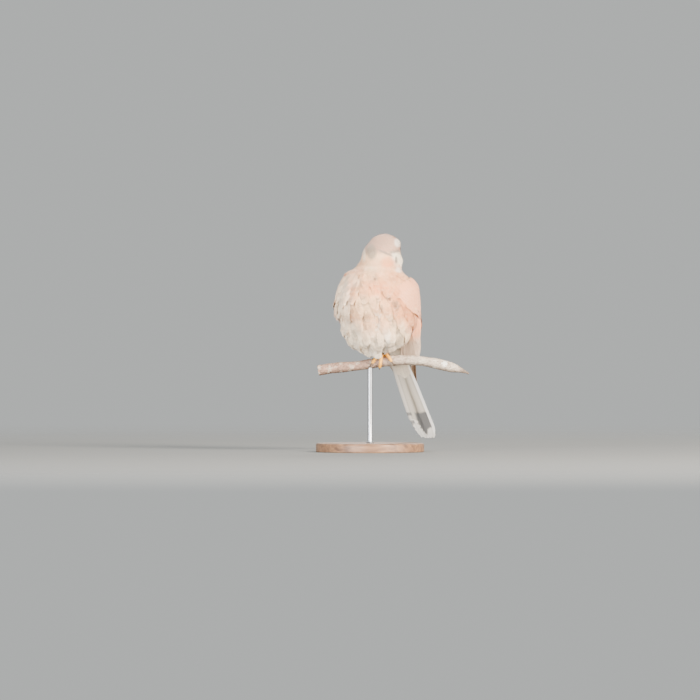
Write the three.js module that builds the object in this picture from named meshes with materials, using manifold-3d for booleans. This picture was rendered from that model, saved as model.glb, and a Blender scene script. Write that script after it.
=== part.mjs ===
// A life-size still model of a common kestrel at rest. It stands on one leg on a cut length of branch, its breast
// to the front, its head turned round over its back and its tail hanging behind. A plain stand holds the branch.
// Millimetres, +Z up. The breast looks towards -Y. The origin is the middle of the base's underside, below the rod.
import * as THREE from 'three';
import { mergeVertices } from 'three/addons/utils/BufferGeometryUtils.js';
import Module from 'manifold-3d';

const wasm = await Module();
wasm.setup();

const radians = THREE.MathUtils.degToRad;
const { lerp, clamp, smoothstep } = THREE.MathUtils;

// The gap that touching nodes keep, and the margin that leaves it where one faceted form is cut clear of another
const GAP = 0.3;
const CLEARANCE = 0.45;

// Where the body stands and how it is turned: its middle, and the breast's turn from -Y towards -X
const BODY_X = 10;
const BODY_Y = 0;
const BODY_TURN = radians(30);

// The face looks away, past +Y towards +X, and the head's middle lies over the body
const HEAD_X = 16.3;
const HEAD_Y = -4;
const HEAD_TURN = radians(32);

// Heights of the flat cuts that part torso, neck and head, and of the crown
const TORSO_FOOT = 127.2;
const NECK_FOOT = 236;
const HEAD_FOOT = 249.5;
const CROWN = 290.7;

// Tail: its length, its lean back from straight down, and the height and setback of its root
const TAIL_LENGTH = 165;
const TAIL_LEAN = radians(35.5);
const TAIL_ROOT_BACK = 38;
const TAIL_ROOT_HEIGHT = 152.3;

// Perch and stand
const PERCH_RADIUS = 6.6;
const FOOT_X = 17;
const BASE_RADIUS = 72;
const BASE_THICKNESS = 12;
const ROD_RADIUS = 3.2;
const ROD_SOCKET_DEPTH = 5;

// Feathers of wings and tail: a vane's thickness, the step from one level to the next, the bare middle line
const VANE_THICKNESS = 0.55;
const LEVEL_STEP = 0.88;
const MIDLINE_GAP = 0.2;

// Foot
const TOE_RADIUS = 2;
const SHANK_RADIUS = 2.4;
const SHANK_LEAN = 2.5;
const POCKET_TOP = 147;
const TOE_MESH = { steps: 7, sides: 7 };
const CLAW_MESH = { steps: 5, sides: 5 };

// Eye and bill, forward and sideways from the head's middle
const EYE_RADIUS = 5.4;
const EYE_DETAIL = 16;
const EYE_FORWARD = 13.8;
const EYE_SIDE = 13.6;
const EYE_HEIGHT = 270.5;
const EYE_TURN = radians(54);
const BILL_FORWARD = 23.4;
const BILL_HEIGHT = 265.5;
const BILL_LENGTH = 15;
const NOSTRIL_RADIUS = 0.8;

// Solids from closed meshes, and back

function solid(geometry) {
  const bare = new THREE.BufferGeometry();
  bare.setAttribute('position', geometry.getAttribute('position'));
  bare.setIndex(geometry.getIndex());
  const merged = mergeVertices(bare, 1e-4);
  const vertProperties = merged.attributes.position.array;
  const triVerts = new Uint32Array(merged.index.array);
  const made = new wasm.Manifold(new wasm.Mesh({ numProp: 3, vertProperties, triVerts }));
  if (made.volume() > 0) return made;
  for (let i = 0; i < triVerts.length; i += 3) {
    [triVerts[i + 1], triVerts[i + 2]] = [triVerts[i + 2], triVerts[i + 1]];
  }
  return new wasm.Manifold(new wasm.Mesh({ numProp: 3, vertProperties, triVerts }));
}

function joined(solids) {
  return solids.reduce((sum, one) => sum.add(one));
}

// The largest closed surface of a solid, so that no scrap and no sealed hollow stays
function largest(body) {
  return body.decompose().reduce((best, one) => (one.volume() > best.volume() ? one : best));
}

function geometryOf(body) {
  const mesh = largest(body).getMesh();
  const geometry = new THREE.BufferGeometry();
  geometry.setAttribute('position', new THREE.BufferAttribute(mesh.vertProperties, 3));
  geometry.setIndex(new THREE.BufferAttribute(mesh.triVerts, 1));
  geometry.computeVertexNormals();
  return geometry;
}

// A closed surface through rings of equal count, each end closed by a fan to the ring's middle
function loft(rings) {
  const count = rings[0].length;
  const positions = rings.flat().flatMap((p) => [p.x, p.y, p.z]);
  const index = [];
  for (let r = 0; r + 1 < rings.length; r += 1) {
    for (let i = 0; i < count; i += 1) {
      const a = r * count + i;
      const b = r * count + ((i + 1) % count);
      index.push(a, b, b + count, a, b + count, a + count);
    }
  }
  for (const [r, turned] of [[0, true], [rings.length - 1, false]]) {
    const middle = rings[r].reduce((sum, p) => sum.add(p), new THREE.Vector3()).divideScalar(count);
    const centre = positions.length / 3;
    positions.push(middle.x, middle.y, middle.z);
    for (let i = 0; i < count; i += 1) {
      const a = r * count + i;
      const b = r * count + ((i + 1) % count);
      index.push(centre, ...(turned ? [b, a] : [a, b]));
    }
  }
  const geometry = new THREE.BufferGeometry();
  geometry.setAttribute('position', new THREE.Float32BufferAttribute(positions, 3));
  geometry.setIndex(index);
  return geometry;
}

// A round tube of changing radius along a curve; flat squashes it along the last of its two section axes
function taperedTube(curve, radiusAt, { steps = 8, sides = 8, flat = 1 } = {}) {
  const frames = curve.computeFrenetFrames(steps, false);
  const rings = [];
  for (let s = 0; s <= steps; s += 1) {
    const middle = curve.getPointAt(s / steps);
    const radius = radiusAt(s / steps);
    rings.push(Array.from({ length: sides }, (_, i) => {
      const angle = (i / sides) * 2 * Math.PI;
      return middle.clone()
        .addScaledVector(frames.normals[s], Math.cos(angle) * radius)
        .addScaledVector(frames.binormals[s], Math.sin(angle) * radius * flat);
    }));
  }
  return loft(rings);
}

// A feather's vane: a thin closed blade through sections that hold its two edges and the way out of its upper face.
// Both faces are split along the same diagonals, so that they never cross where the blade curves.
function vane(sections, thickness) {
  const positions = sections.flatMap(({ left, right, out }) => {
    const half = out.clone().multiplyScalar(thickness / 2);
    return [left.clone().add(half), right.clone().add(half), left.clone().sub(half), right.clone().sub(half)];
  });
  const index = [0, 1, 3, 0, 3, 2];
  for (let r = 0; r + 1 < sections.length; r += 1) {
    const [upLeft, upRight, lowLeft, lowRight] = [0, 1, 2, 3].map((k) => 4 * r + k);
    const [nextUpLeft, nextUpRight, nextLowLeft, nextLowRight] = [4, 5, 6, 7].map((k) => 4 * r + k);
    index.push(upLeft, nextUpRight, upRight, upLeft, nextUpLeft, nextUpRight);
    index.push(lowLeft, lowRight, nextLowRight, lowLeft, nextLowRight, nextLowLeft);
    index.push(upRight, nextUpRight, nextLowRight, upRight, nextLowRight, lowRight);
    index.push(upLeft, lowLeft, nextLowLeft, upLeft, nextLowLeft, nextUpLeft);
  }
  const end = 4 * (sections.length - 1);
  index.push(end, end + 3, end + 1, end, end + 2, end + 3);
  const geometry = new THREE.BufferGeometry();
  geometry.setAttribute('position', new THREE.Float32BufferAttribute(positions.flatMap((p) => p.toArray()), 3));
  geometry.setIndex(index);
  return solid(geometry);
}

// How wide a vane is along its length, as a share of its full width: narrow at the quill and round at the tip
function vaneWidth(t) {
  const roundFrom = 0.8;
  const past = Math.max(0, t - roundFrom) / (1.015 - roundFrom);
  return lerp(0.55, 1, smoothstep(t, 0, 0.45)) * Math.sqrt(1 - past * past);
}

// Values of a table of stations at any height, on a smooth curve through them
function stationAt(stations, height) {
  const last = stations.length - 1;
  let i = stations.findIndex((station) => station[0] > height) - 1;
  if (i < -1) i = last - 1;
  i = clamp(i, 0, last - 1);
  const [before, from, to, after] = [i - 1, i, i + 1, i + 2].map((k) => stations[clamp(k, 0, last)]);
  const span = to[0] - from[0];
  const t = clamp((height - from[0]) / span, 0, 1);
  return from.slice(1).map((start, k) => {
    const end = to[k + 1];
    const startSlope = ((end - before[k + 1]) / (to[0] - before[0])) * span;
    const endSlope = ((after[k + 1] - start) / (after[0] - from[0])) * span;
    const t2 = t * t;
    const t3 = t2 * t;
    return (2 * t3 - 3 * t2 + 1) * start + (t3 - 2 * t2 + t) * startSlope
      + (3 * t2 - 2 * t3) * end + (t3 - t2) * endSlope;
  });
}

// The body's own directions: its left side, its back, and the way its tail points
const LEFT = new THREE.Vector3(Math.cos(BODY_TURN), -Math.sin(BODY_TURN), 0);
const BACK = new THREE.Vector3(Math.sin(BODY_TURN), Math.cos(BODY_TURN), 0);
const UP = new THREE.Vector3(0, 0, 1);
const TAIL_WAY = BACK.clone().multiplyScalar(Math.sin(TAIL_LEAN)).addScaledVector(UP, -Math.cos(TAIL_LEAN));
const TAIL_TOP_SIDE = BACK.clone().multiplyScalar(Math.cos(TAIL_LEAN)).addScaledVector(UP, Math.sin(TAIL_LEAN));

// A point of the body by its distance to the left, its distance back and its height
function bodyPoint([left, back, height]) {
  return new THREE.Vector3(BODY_X, BODY_Y, height).addScaledVector(LEFT, left).addScaledVector(BACK, back);
}

const TAIL_ROOT = bodyPoint([0, TAIL_ROOT_BACK, TAIL_ROOT_HEIGHT]);

// The fluffed coat's outline. Each station: height, shift forward, half width, reach to the front, reach to the back
const TRUNK = [
  [127.2, 9, 7, 9, 7],
  [130, 8.5, 14, 15, 12],
  [134, 7, 22, 22, 19],
  [140, 4, 34, 34, 31],
  [150, 1, 42.5, 43, 41],
  [160, 0, 46, 48, 44],
  [173, 0, 50, 55, 46],
  [184, 0, 53.5, 62, 46.5],
  [196, 0, 55, 66, 46.5],
  [209, 0.5, 53.5, 61, 45],
  [222, 2, 49.5, 52, 43],
  [229, 3.5, 46, 46, 40],
  [236, 6, 41, 39, 36],
  [242, 7, 36, 35, 33],
  [250, 4, 31, 31, 30],
];
const SKULL = [
  [236, -1.2, 36.7, 37.2, 38],
  [243, -1.5, 31.8, 32, 34],
  [251, -1.8, 28.1, 29.3, 32],
  [256, -1.7, 26.7, 28.5, 30.8],
  [261, -1.6, 25.5, 27.9, 30],
  [266, -1.4, 24.2, 28, 29],
  [271.4, -0.2, 23.1, 27.3, 26],
  [276.7, 2.1, 21.4, 24.8, 20.8],
  [280.5, 3.8, 18.8, 21.6, 17],
  [284.5, 5, 15, 16.9, 12.8],
  [288, 6, 10, 10.9, 8.5],
  [290, 6.3, 4.9, 5.1, 4.4],
  [290.7, 6, 2.2, 2, 2],
];

// The distance from a section's middle to its rim, in a direction that turns from its front to its left
function reach([, half, front, back], angle) {
  const along = Math.cos(angle) / (Math.cos(angle) > 0 ? front : back);
  return 1 / Math.hypot(Math.sin(angle) / half, along);
}

// The rim of the bird's section at a height, grown by a margin, from -Y round towards +X. The neck passes from the
// trunk's shape to the skull's.
function outlineRing(height, sides, grown = 0) {
  const trunk = stationAt(TRUNK, height);
  const skull = stationAt(SKULL, height);
  const share = smoothstep(height, NECK_FOOT, HEAD_FOOT);
  const trunkMiddle = bodyPoint([0, -trunk[0], height]);
  const skullMiddle = headPoint(skull[0], 0, height);
  const middle = trunkMiddle.lerp(skullMiddle, share);
  return Array.from({ length: sides }, (_, i) => {
    const angle = (i / sides) * 2 * Math.PI;
    const trunkReach = reach(trunk, angle + BODY_TURN);
    const skullReach = reach(skull, angle + HEAD_TURN - Math.PI);
    const radius = lerp(trunkReach, skullReach, share) + grown;
    return new THREE.Vector3(Math.sin(angle) * radius, -Math.cos(angle) * radius, 0).add(middle);
  });
}

// A point of the head by its distance forward, to its left, and its height
function headPoint(forward, left, height) {
  const ahead = new THREE.Vector3(Math.sin(HEAD_TURN), Math.cos(HEAD_TURN), 0);
  const sideways = new THREE.Vector3(-Math.cos(HEAD_TURN), Math.sin(HEAD_TURN), 0);
  const middle = new THREE.Vector3(HEAD_X, HEAD_Y, height);
  return middle.addScaledVector(ahead, forward).addScaledVector(sideways, left);
}

// The bird between two heights as one closed form
function trunkBetween(low, high, rings, sides, grown = 0) {
  const heights = Array.from({ length: rings + 1 }, (_, i) => lerp(low, high, i / rings));
  return solid(loft(heights.map((height) => outlineRing(height, sides, grown))));
}

// Simple cutters and joiners, from the geometry classes

function ball(centre, radius, scale = [1, 1, 1], detail = 16) {
  const geometry = new THREE.SphereGeometry(radius, detail, detail / 2);
  geometry.scale(...scale);
  geometry.translate(centre.x, centre.y, centre.z);
  return solid(geometry);
}

// A cylinder or cone from one point to another
function pin(from, to, startRadius, endRadius = startRadius, sides = 24) {
  const length = from.distanceTo(to);
  const geometry = new THREE.CylinderGeometry(endRadius, startRadius, length, sides);
  geometry.translate(0, length / 2, 0);
  const way = to.clone().sub(from).normalize();
  geometry.applyQuaternion(new THREE.Quaternion().setFromUnitVectors(new THREE.Vector3(0, 1, 0), way));
  geometry.translate(from.x, from.y, from.z);
  return solid(geometry);
}

// Perch: a side branch with a sawn left end that bends to a broken tip at the right

const PERCH_LINE = new THREE.CatmullRomCurve3([
  [-69, 1, 108.4], [-53, 0.5, 111.1], [-33, -0.5, 113.1], [-13, 0, 115.1], [6.7, 0.5, 118.4],
  [27, 0, 121.1], [47, -1, 122.2], [66, -1, 121.1], [80, 0, 119.1], [93, 1, 116.4],
  [106, 1.5, 113.1], [120, 1, 109.1], [131.5, 0.5, 104.2],
].map((p) => new THREE.Vector3(...p)));

// The perch's middle at a distance along X
function perchAt(x) {
  const points = PERCH_LINE.getPoints(120);
  return points.reduce((best, p) => (Math.abs(p.x - x) < Math.abs(best.x - x) ? p : best));
}

function perchRadius(t) {
  const swell = 0.35 * Math.sin(t * 17) + 0.2 * Math.sin(t * 41 + 1);
  const tip = smoothstep(t, 0.86, 1);
  return (PERCH_RADIUS + swell * (1 - tip)) * (1 - 0.78 * tip);
}

function perchForm(grown = 0) {
  return solid(taperedTube(PERCH_LINE, (t) => perchRadius(t) + grown, { steps: 25, sides: 12 }));
}

function makePerch(rodTop) {
  const socket = pin(rodTop.clone().setZ(rodTop.z - 30), rodTop.clone().setZ(rodTop.z + GAP), ROD_RADIUS + GAP);
  return perchForm().subtract(socket);
}

// Stand: a turned base and one rod whose ends are let into the base and the perch

function makeBase() {
  const edge = 3;
  const profile = [[0, 0], [BASE_RADIUS - 1, 0], [BASE_RADIUS, 1]];
  for (let i = 0; i <= 4; i += 1) {
    const angle = (i / 4) * (Math.PI / 2);
    profile.push([
      BASE_RADIUS - edge + Math.cos(angle) * edge,
      BASE_THICKNESS - edge + Math.sin(angle) * edge,
    ]);
  }
  profile.push([0, BASE_THICKNESS]);
  const turned = new THREE.LatheGeometry(profile.map(([r, z]) => new THREE.Vector2(r, z)), 36);
  turned.rotateX(Math.PI / 2);
  const foot = new THREE.Vector3(0, 0, BASE_THICKNESS - ROD_SOCKET_DEPTH - GAP);
  return solid(turned).subtract(pin(foot, new THREE.Vector3(0, 0, BASE_THICKNESS + 5), ROD_RADIUS + GAP));
}

function makeRod(rodTop) {
  return pin(new THREE.Vector3(0, 0, BASE_THICKNESS - ROD_SOCKET_DEPTH), rodTop, ROD_RADIUS);
}

// Standing foot: three toes over the front of the perch, one over its back, each with a claw

const PERCH_AT_FOOT = perchAt(FOOT_X);
const PALM = PERCH_AT_FOOT.clone().add(new THREE.Vector3(0, 1, PERCH_RADIUS + GAP + 3));
const ANKLE = PALM.clone().add(new THREE.Vector3(0.3, 0.4, 4));

// A toe lies over the perch from its top round to an angle below its front (or back), 0 being level with its middle
function grippingToe({ startX, endX, endAngle, behind = false }) {
  const grip = PERCH_RADIUS + 0.55 + GAP + TOE_RADIUS;
  const steps = 8;
  const points = Array.from({ length: steps + 1 }, (_, i) => {
    const t = i / steps;
    const middle = perchAt(lerp(startX, endX, t));
    const angle = lerp(Math.PI / 2, endAngle, t);
    const arch = grip + 0.9 * Math.sin(t * Math.PI * 2) ** 2;
    const out = Math.cos(angle) * arch * (behind ? 1 : -1);
    return new THREE.Vector3(middle.x, middle.y + out, middle.z + Math.sin(angle) * arch);
  });
  const toe = taperedTube(new THREE.CatmullRomCurve3(points), (t) => TOE_RADIUS * (1.12 - 0.3 * t), TOE_MESH);
  return joined([solid(toe), hookedClaw(points, 8)]);
}

// A claw carries on from the last two points of a toe and curves on round the same way
function hookedClaw(points, length) {
  const tip = points.at(-1);
  const way = tip.clone().sub(points.at(-2)).normalize();
  const inner = points.at(-3).clone().sub(tip).projectOnPlane(way).normalize();
  const line = [-1.6, 0, 0.35, 0.7, 1].map((t) => {
    const along = Math.max(t, t * 1.2) * length * (t < 0 ? 0.25 : 0.85);
    return tip.clone().addScaledVector(way, along).addScaledVector(inner, t > 0 ? t * t * length * 0.5 : 0);
  });
  const curve = new THREE.CatmullRomCurve3(line);
  return solid(taperedTube(curve, (t) => lerp(1.45, 0.3, t ** 1.3), CLAW_MESH));
}

function makeFoot() {
  const toes = [
    { startX: FOOT_X - 1, endX: FOOT_X - 4.5, endAngle: radians(-28) },
    { startX: FOOT_X - 2.5, endX: FOOT_X - 14, endAngle: radians(2) },
    { startX: FOOT_X + 2, endX: FOOT_X + 11.5, endAngle: radians(-4) },
    { startX: FOOT_X + 0.5, endX: FOOT_X + 1.5, endAngle: radians(18), behind: true },
  ];
  const palm = ball(PALM, 3.6, [1, 1, 0.9], 12);
  const ankle = pin(PALM, ANKLE.clone().setZ(ANKLE.z + 1), SHANK_RADIUS + 0.5, SHANK_RADIUS, 12);
  const above = pin(ANKLE, ANKLE.clone().setZ(ANKLE.z + 10), 3 * SHANK_RADIUS);
  const foot = joined([palm, ankle, ...toes.map(grippingToe)]);
  return foot.subtract(perchForm(CLEARANCE)).subtract(above);
}

// Shank: from the flat on top of the foot up into the belly's feathers

function makeShank() {
  const low = ANKLE.clone().setZ(ANKLE.z + GAP);
  const high = new THREE.Vector3(low.x + 0.5, low.y + SHANK_LEAN, POCKET_TOP - GAP);
  const line = new THREE.LineCurve3(low, high);
  const rings = [0, 0.35, 0.7, 1].map((t) => Array.from({ length: 12 }, (_, i) => {
    const angle = (i / 12) * 2 * Math.PI;
    const radius = SHANK_RADIUS + 1.6 * smoothstep(t, 0.3, 1);
    return line.getPoint(t).add(new THREE.Vector3(Math.cos(angle) * radius, Math.sin(angle) * radius, 0));
  }));
  return solid(loft(rings));
}

// The hollow in the belly's feathers round the standing foot and shank. Stations: height over the palm, half width
// and half depth
function legPocket() {
  const line = [[-14, 19.5, 12], [2, 18.5, 11.6], [6, 11, 9], [10, 8, 7.5], [POCKET_TOP - PALM.z, 6.5, 6.5]];
  const sides = 16;
  const rings = line.map(([up, halfWidth, halfDepth], r) => Array.from({ length: sides }, (_, i) => {
    const angle = (i / sides) * 2 * Math.PI;
    const back = 0.5 * r;
    return PALM.clone().add(new THREE.Vector3(Math.cos(angle) * halfWidth, Math.sin(angle) * halfDepth + back, up));
  }));
  return solid(loft(rings));
}

// Tucked right foot: a closed fist of toes drawn up into the belly's feathers

const FIST = bodyPoint([-17, -16, 143.5]);
const FIST_WAY = new THREE.Vector3(-0.25, -0.45, -0.86).normalize();
const CURLED_TOE_RADIUS = 1.8;
const STEM = 8;

// A toe that leaves the fist sideways, turned round its axis, and bends back towards the palm
function curledToe(turn, spread) {
  const across = UP.clone().cross(FIST_WAY).normalize();
  const ahead = across.applyAxisAngle(FIST_WAY, turn);
  const bends = 7;
  const points = Array.from({ length: bends + 1 }, (_, i) => {
    const angle = lerp(-0.4, Math.PI * 0.98, i / bends);
    return FIST.clone()
      .addScaledVector(ahead, spread * (Math.cos(angle) * 0.9 + 0.35))
      .addScaledVector(FIST_WAY, 2 + Math.sin(angle) * spread * 0.8);
  });
  const toe = taperedTube(new THREE.CatmullRomCurve3(points), (t) => CURLED_TOE_RADIUS * (1.1 - 0.3 * t), {
    steps: 6,
    sides: 6,
  });
  return joined([solid(toe), hookedClaw(points, 6)]);
}

function makeFist() {
  const turns = [[-60, 5.5], [-95, 6.5], [-130, 5.5], [90, 5]];
  const toes = turns.map(([turn, spread]) => curledToe(radians(turn), spread));
  const stem = pin(FIST.clone().addScaledVector(FIST_WAY, -STEM), FIST, SHANK_RADIUS + 0.4, SHANK_RADIUS, 10);
  return joined([ball(FIST, 4.2, [1, 1, 1], 10), stem, ...toes]);
}

function fistPocket() {
  const from = FIST.clone().addScaledVector(FIST_WAY, -STEM - GAP);
  return pin(from, FIST.clone().addScaledVector(FIST_WAY, 30), 10.5, 13, 16);
}

// Torso, neck and head: one form parted by flat cuts, with pockets for what grows out of it

const BODY_SIDES = 32;
const TORSO_RINGS = 20;

function torsoForm(grown = 0) {
  return trunkBetween(TORSO_FOOT, NECK_FOOT - GAP, TORSO_RINGS, BODY_SIDES, grown);
}

function makeTorso() {
  return torsoForm().subtract(legPocket()).subtract(fistPocket()).subtract(tailCore(CLEARANCE));
}

function makeNeck() {
  return trunkBetween(NECK_FOOT, HEAD_FOOT - GAP, 4, BODY_SIDES);
}

const EYES = [1, -1].map((side) => {
  const centre = headPoint(EYE_FORWARD, side * EYE_SIDE, EYE_HEIGHT);
  const ahead = headPoint(1, 0, 0).sub(headPoint(0, 0, 0));
  const sideways = headPoint(0, side, 0).sub(headPoint(0, 0, 0));
  const way = ahead.multiplyScalar(Math.cos(EYE_TURN)).addScaledVector(sideways, Math.sin(EYE_TURN));
  return { centre, way };
});

function makeEye({ centre }) {
  return ball(centre, EYE_RADIUS, [1, 1, 1], EYE_DETAIL);
}

function eyeRoom(centre) {
  return ball(centre, EYE_RADIUS + CLEARANCE, [1, 1, 1], EYE_DETAIL);
}

// The hollow that the eye lies in, with a wider mouth in the feathers round it
function eyeHollow({ centre, way }) {
  const ring = centre.clone().addScaledVector(way, 3.2);
  const outside = centre.clone().addScaledVector(way, 12);
  return joined([eyeRoom(centre), pin(ring, outside, 5.6, 10.5, EYE_DETAIL)]);
}

// The bare ring of the lids round the eye
function lidRing({ centre, way }) {
  const ring = new THREE.TorusGeometry(5.75, 0.95, 6, 20);
  ring.applyQuaternion(new THREE.Quaternion().setFromUnitVectors(new THREE.Vector3(0, 0, 1), way));
  const middle = centre.clone().addScaledVector(way, 3.55);
  ring.translate(middle.x, middle.y, middle.z);
  return solid(ring);
}

// The line of the mouth runs back into the cheek below the bill
function mouthLine(side) {
  const from = headPoint(BILL_FORWARD + 4, side * 3.5, BILL_HEIGHT - 3.4);
  const to = headPoint(BILL_FORWARD - 5.5, side * 12, BILL_HEIGHT - 4.4);
  return pin(from, to, 0.75, 0.45, 8);
}

function billPocket() {
  const middle = headPoint(BILL_FORWARD, 0, BILL_HEIGHT - 1.2);
  return pin(middle, headPoint(BILL_FORWARD + 15, 0, BILL_HEIGHT - 1.2), 7.6, 9.5, 16);
}

function makeHead() {
  const heights = [HEAD_FOOT, 253, 257, 261, 265, 269, 273, 276.5, 280, 283, 285.7, 288, 289.7, CROWN];
  const form = solid(loft(heights.map((height) => outlineRing(height, BODY_SIDES))));
  const hollowed = EYES.reduce((body, eye) => body.subtract(eyeHollow(eye)), form);
  const lidded = EYES.reduce((body, eye) => body.add(lidRing(eye)), hollowed);
  const cleared = EYES.reduce((body, eye) => body.subtract(eyeRoom(eye.centre)), lidded);
  return [1, -1].reduce((body, side) => body.subtract(mouthLine(side)), cleared.subtract(billPocket()));
}

// Bill: stations from its base to its hook: forward, height of the ridge, height of the cutting edge, half width
const UPPER_BILL = [
  [0, 4.9, -2.6, 5.3],
  [2.5, 5, -2.8, 5],
  [4.5, 4.6, -3, 4.3],
  [7, 3.9, -3.2, 3.7],
  [9.5, 2.4, -3.3, 3.1],
  [11.5, 0.4, -4.6, 2.5],
  [13, -2, -4.4, 1.9],
  [14.3, -4.8, -6.2, 1.2],
  [15, -7.6, -8.4, 0.5],
];
const LOWER_BILL = [
  [0, -3, -7.2, 4.6],
  [3, -3.2, -7, 4.1],
  [6, -3.5, -6.6, 3.3],
  [8.5, -3.8, -6, 2.4],
  [10, -4.1, -5.2, 1.3],
];

function billLoft(stations, drop) {
  const sides = 12;
  const rings = stations.map(([forward, high, low, half]) => {
    const middle = (high + low) / 2;
    return Array.from({ length: sides }, (_, i) => {
      const angle = (i / sides) * 2 * Math.PI;
      const side = Math.sin(angle) * half;
      const height = middle + Math.cos(angle) * ((high - low) / 2);
      return headPoint(BILL_FORWARD + GAP + forward * (BILL_LENGTH / 15), side, BILL_HEIGHT + height - drop);
    });
  });
  return solid(loft(rings));
}

function makeUpperBill() {
  const nostrils = [1, -1].map((side) => pin(
    headPoint(BILL_FORWARD + 3.2, side * 3.1, BILL_HEIGHT + 1.9),
    headPoint(BILL_FORWARD + 2.4, side * 8, BILL_HEIGHT + 2.6),
    NOSTRIL_RADIUS,
    NOSTRIL_RADIUS,
    8,
  ));
  return nostrils.reduce((body, hole) => body.subtract(hole), billLoft(UPPER_BILL, 0));
}

function makeLowerBill() {
  const upperGrown = UPPER_BILL.map(([forward, high, low, half]) => [forward, high + 1, low - GAP, half + 1]);
  return billLoft(LOWER_BILL, GAP).subtract(billLoft(upperGrown, 0));
}

// Tail: its own directions are along, across to the left, and out to its top side

function tailPoint(along, across, out) {
  return TAIL_ROOT.clone()
    .addScaledVector(TAIL_WAY, along)
    .addScaledVector(LEFT, across)
    .addScaledVector(TAIL_TOP_SIDE, out);
}

// The fleshy root that the feathers grow from, which lies in a pocket of the torso
function tailCore(grown = 0) {
  const stations = [[0, 11, 8.5], [12, 11.5, 7.6], [24, 11.5, 5.6], [38, 10, 3]];
  const rings = stations.map(([along, half, thick]) => Array.from({ length: 20 }, (_, i) => {
    const angle = (i / 20) * 2 * Math.PI;
    return tailPoint(along - grown, Math.cos(angle) * (half + grown), Math.sin(angle) * (thick + grown));
  }));
  return solid(loft(rings));
}

// A feather of the tail on one side: its axis runs from a start to an end distance from the middle line, and it lies
// on its own level, which it reaches past the root. Its inner edge stops at a least distance from the middle line.
function tailFeather({ side, from, length, start, end, half, level, inner = MIDLINE_GAP, steps = 6 }) {
  const sections = Array.from({ length: steps + 1 }, (_, i) => {
    const t = 1 - (1 - i / steps) ** 1.35;
    const along = lerp(from, length, t);
    const axis = lerp(start, end, t);
    const width = half * vaneWidth(t);
    const out = level * smoothstep(along, from - 5, from + 35);
    const edges = [Math.max(inner, axis - width), axis + width].map((c) => tailPoint(along, side * c, out));
    return { left: edges[side > 0 ? 0 : 1], right: edges[side > 0 ? 1 : 0], out: TAIL_TOP_SIDE };
  });
  return vane(sections, VANE_THICKNESS);
}

// Six feathers a side, the middle pair on top and crossing. The right side ends in steps, the left nearly square.
const TAIL_SHORTER = { left: [0, 1, 3, 5.5, 8.5, 12], right: [0, 2, 6, 11.5, 18.5, 27] };

function makeTail() {
  const feathers = ['left', 'right'].flatMap((name) => TAIL_SHORTER[name].map((shorter, i) => tailFeather({
    side: name === 'left' ? 1 : -1,
    from: 18,
    length: TAIL_LENGTH - shorter,
    start: 1.6 + 1.2 * i,
    end: i === 0 ? 2.4 : 6 + (name === 'left' ? 0.7 : 0.9) * i,
    half: 6.6 + 0.1 * i,
    level: (i === 0 && name === 'left' ? 3 : 2 - i) * LEVEL_STEP,
    inner: i === 0 ? -7 : MIDLINE_GAP,
  })));
  const coverts = [1, -1].flatMap((face) => [1, -1].flatMap((side) => [0, 1, 2].map((i) => tailFeather({
    side,
    from: 6 + 2 * i,
    length: (face > 0 ? 58 : 66) - 9 * i,
    start: 1.5 + 2.5 * i,
    end: 4.6 + 3.4 * i,
    half: 4.4,
    level: face * ((face > 0 ? 4.4 : 4.5) - i * 0.25),
    steps: 3,
  }))));
  return joined([tailCore(), ...feathers, ...coverts]);
}

// Wings: a folded wing is a curved sheet between its leading edge, low on the flank, and its inner edge over the back

const LEADING_EDGE = [
  [46, -24, 223], [51, -26, 206], [54.5, -20, 198], [57, -9, 189], [57, 5, 184], [54, 22, 176], [47, 35, 163],
  [40.5, 46, 150], [28, 69, 120], [15, 92, 90], [7, 117, 51],
];
const MIDDLE_LINE = [
  [51, -1, 231], [56, 8, 217.5], [50, 24, 200], [40.5, 38.5, 184], [34, 50, 167], [26, 60, 150],
  [18, 72, 127], [11, 88, 101], [7, 104, 76], [5, 117.5, 51.5],
];
const INNER_EDGE = [
  [32, 31, 232], [28, 38.5, 222], [22, 45, 207], [16, 50, 190], [11, 53, 173], [8, 61, 155],
  [6, 75, 133], [4.5, 90, 108], [3.5, 104, 82], [3, 118, 52],
];
const CORE_SHARE = 0.42;
const CORE_DEPTH = 9;

// The sheet's point at a share of its length and of its width, bare or lifted along the sheet's outward way
function wingSheet(side) {
  const curves = [LEADING_EDGE, MIDDLE_LINE, INNER_EDGE].map((line) => new THREE.CatmullRomCurve3(
    line.map(([left, back, height]) => bodyPoint([side * left, back, height])),
  ));
  const raw = (along, across) => {
    const [edge, middle, inner] = curves.map((curve) => curve.getPointAt(clamp(along, 0, 1)));
    return edge.multiplyScalar((1 - across) * (1 - 2 * across))
      .addScaledVector(middle, 4 * across * (1 - across))
      .addScaledVector(inner, across * (2 * across - 1));
  };
  const outward = (along, across) => {
    const s = clamp(along, 0.02, 0.98);
    const lengthwise = raw(s + 0.02, across).sub(raw(s - 0.02, across));
    const crosswise = raw(s, across + 0.02).sub(raw(s, across - 0.02));
    return crosswise.cross(lengthwise).multiplyScalar(-side).normalize();
  };
  const at = (along, across, lift) => raw(along, across).addScaledVector(outward(along, across), lift);
  return { raw, outward, at };
}

// The wing's arm and hand: a closed slab from the sheet down to a depth below it, thinning towards the feathers' half
function wingCore(sheet) {
  const steps = 9;
  const columns = 5;
  const rings = Array.from({ length: steps + 1 }, (_, r) => {
    const along = lerp(0, CORE_SHARE, r / steps);
    const sunk = lerp(0, -5, smoothstep(along, 0.1, CORE_SHARE));
    const places = Array.from({ length: columns + 1 }, (__, i) => i / columns);
    const top = places.map((across) => sheet.at(along, across, sunk));
    const under = places.map((across) => sheet.at(along, across, -CORE_DEPTH)).reverse();
    return [...top, ...under];
  });
  return solid(loft(rings));
}

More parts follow.
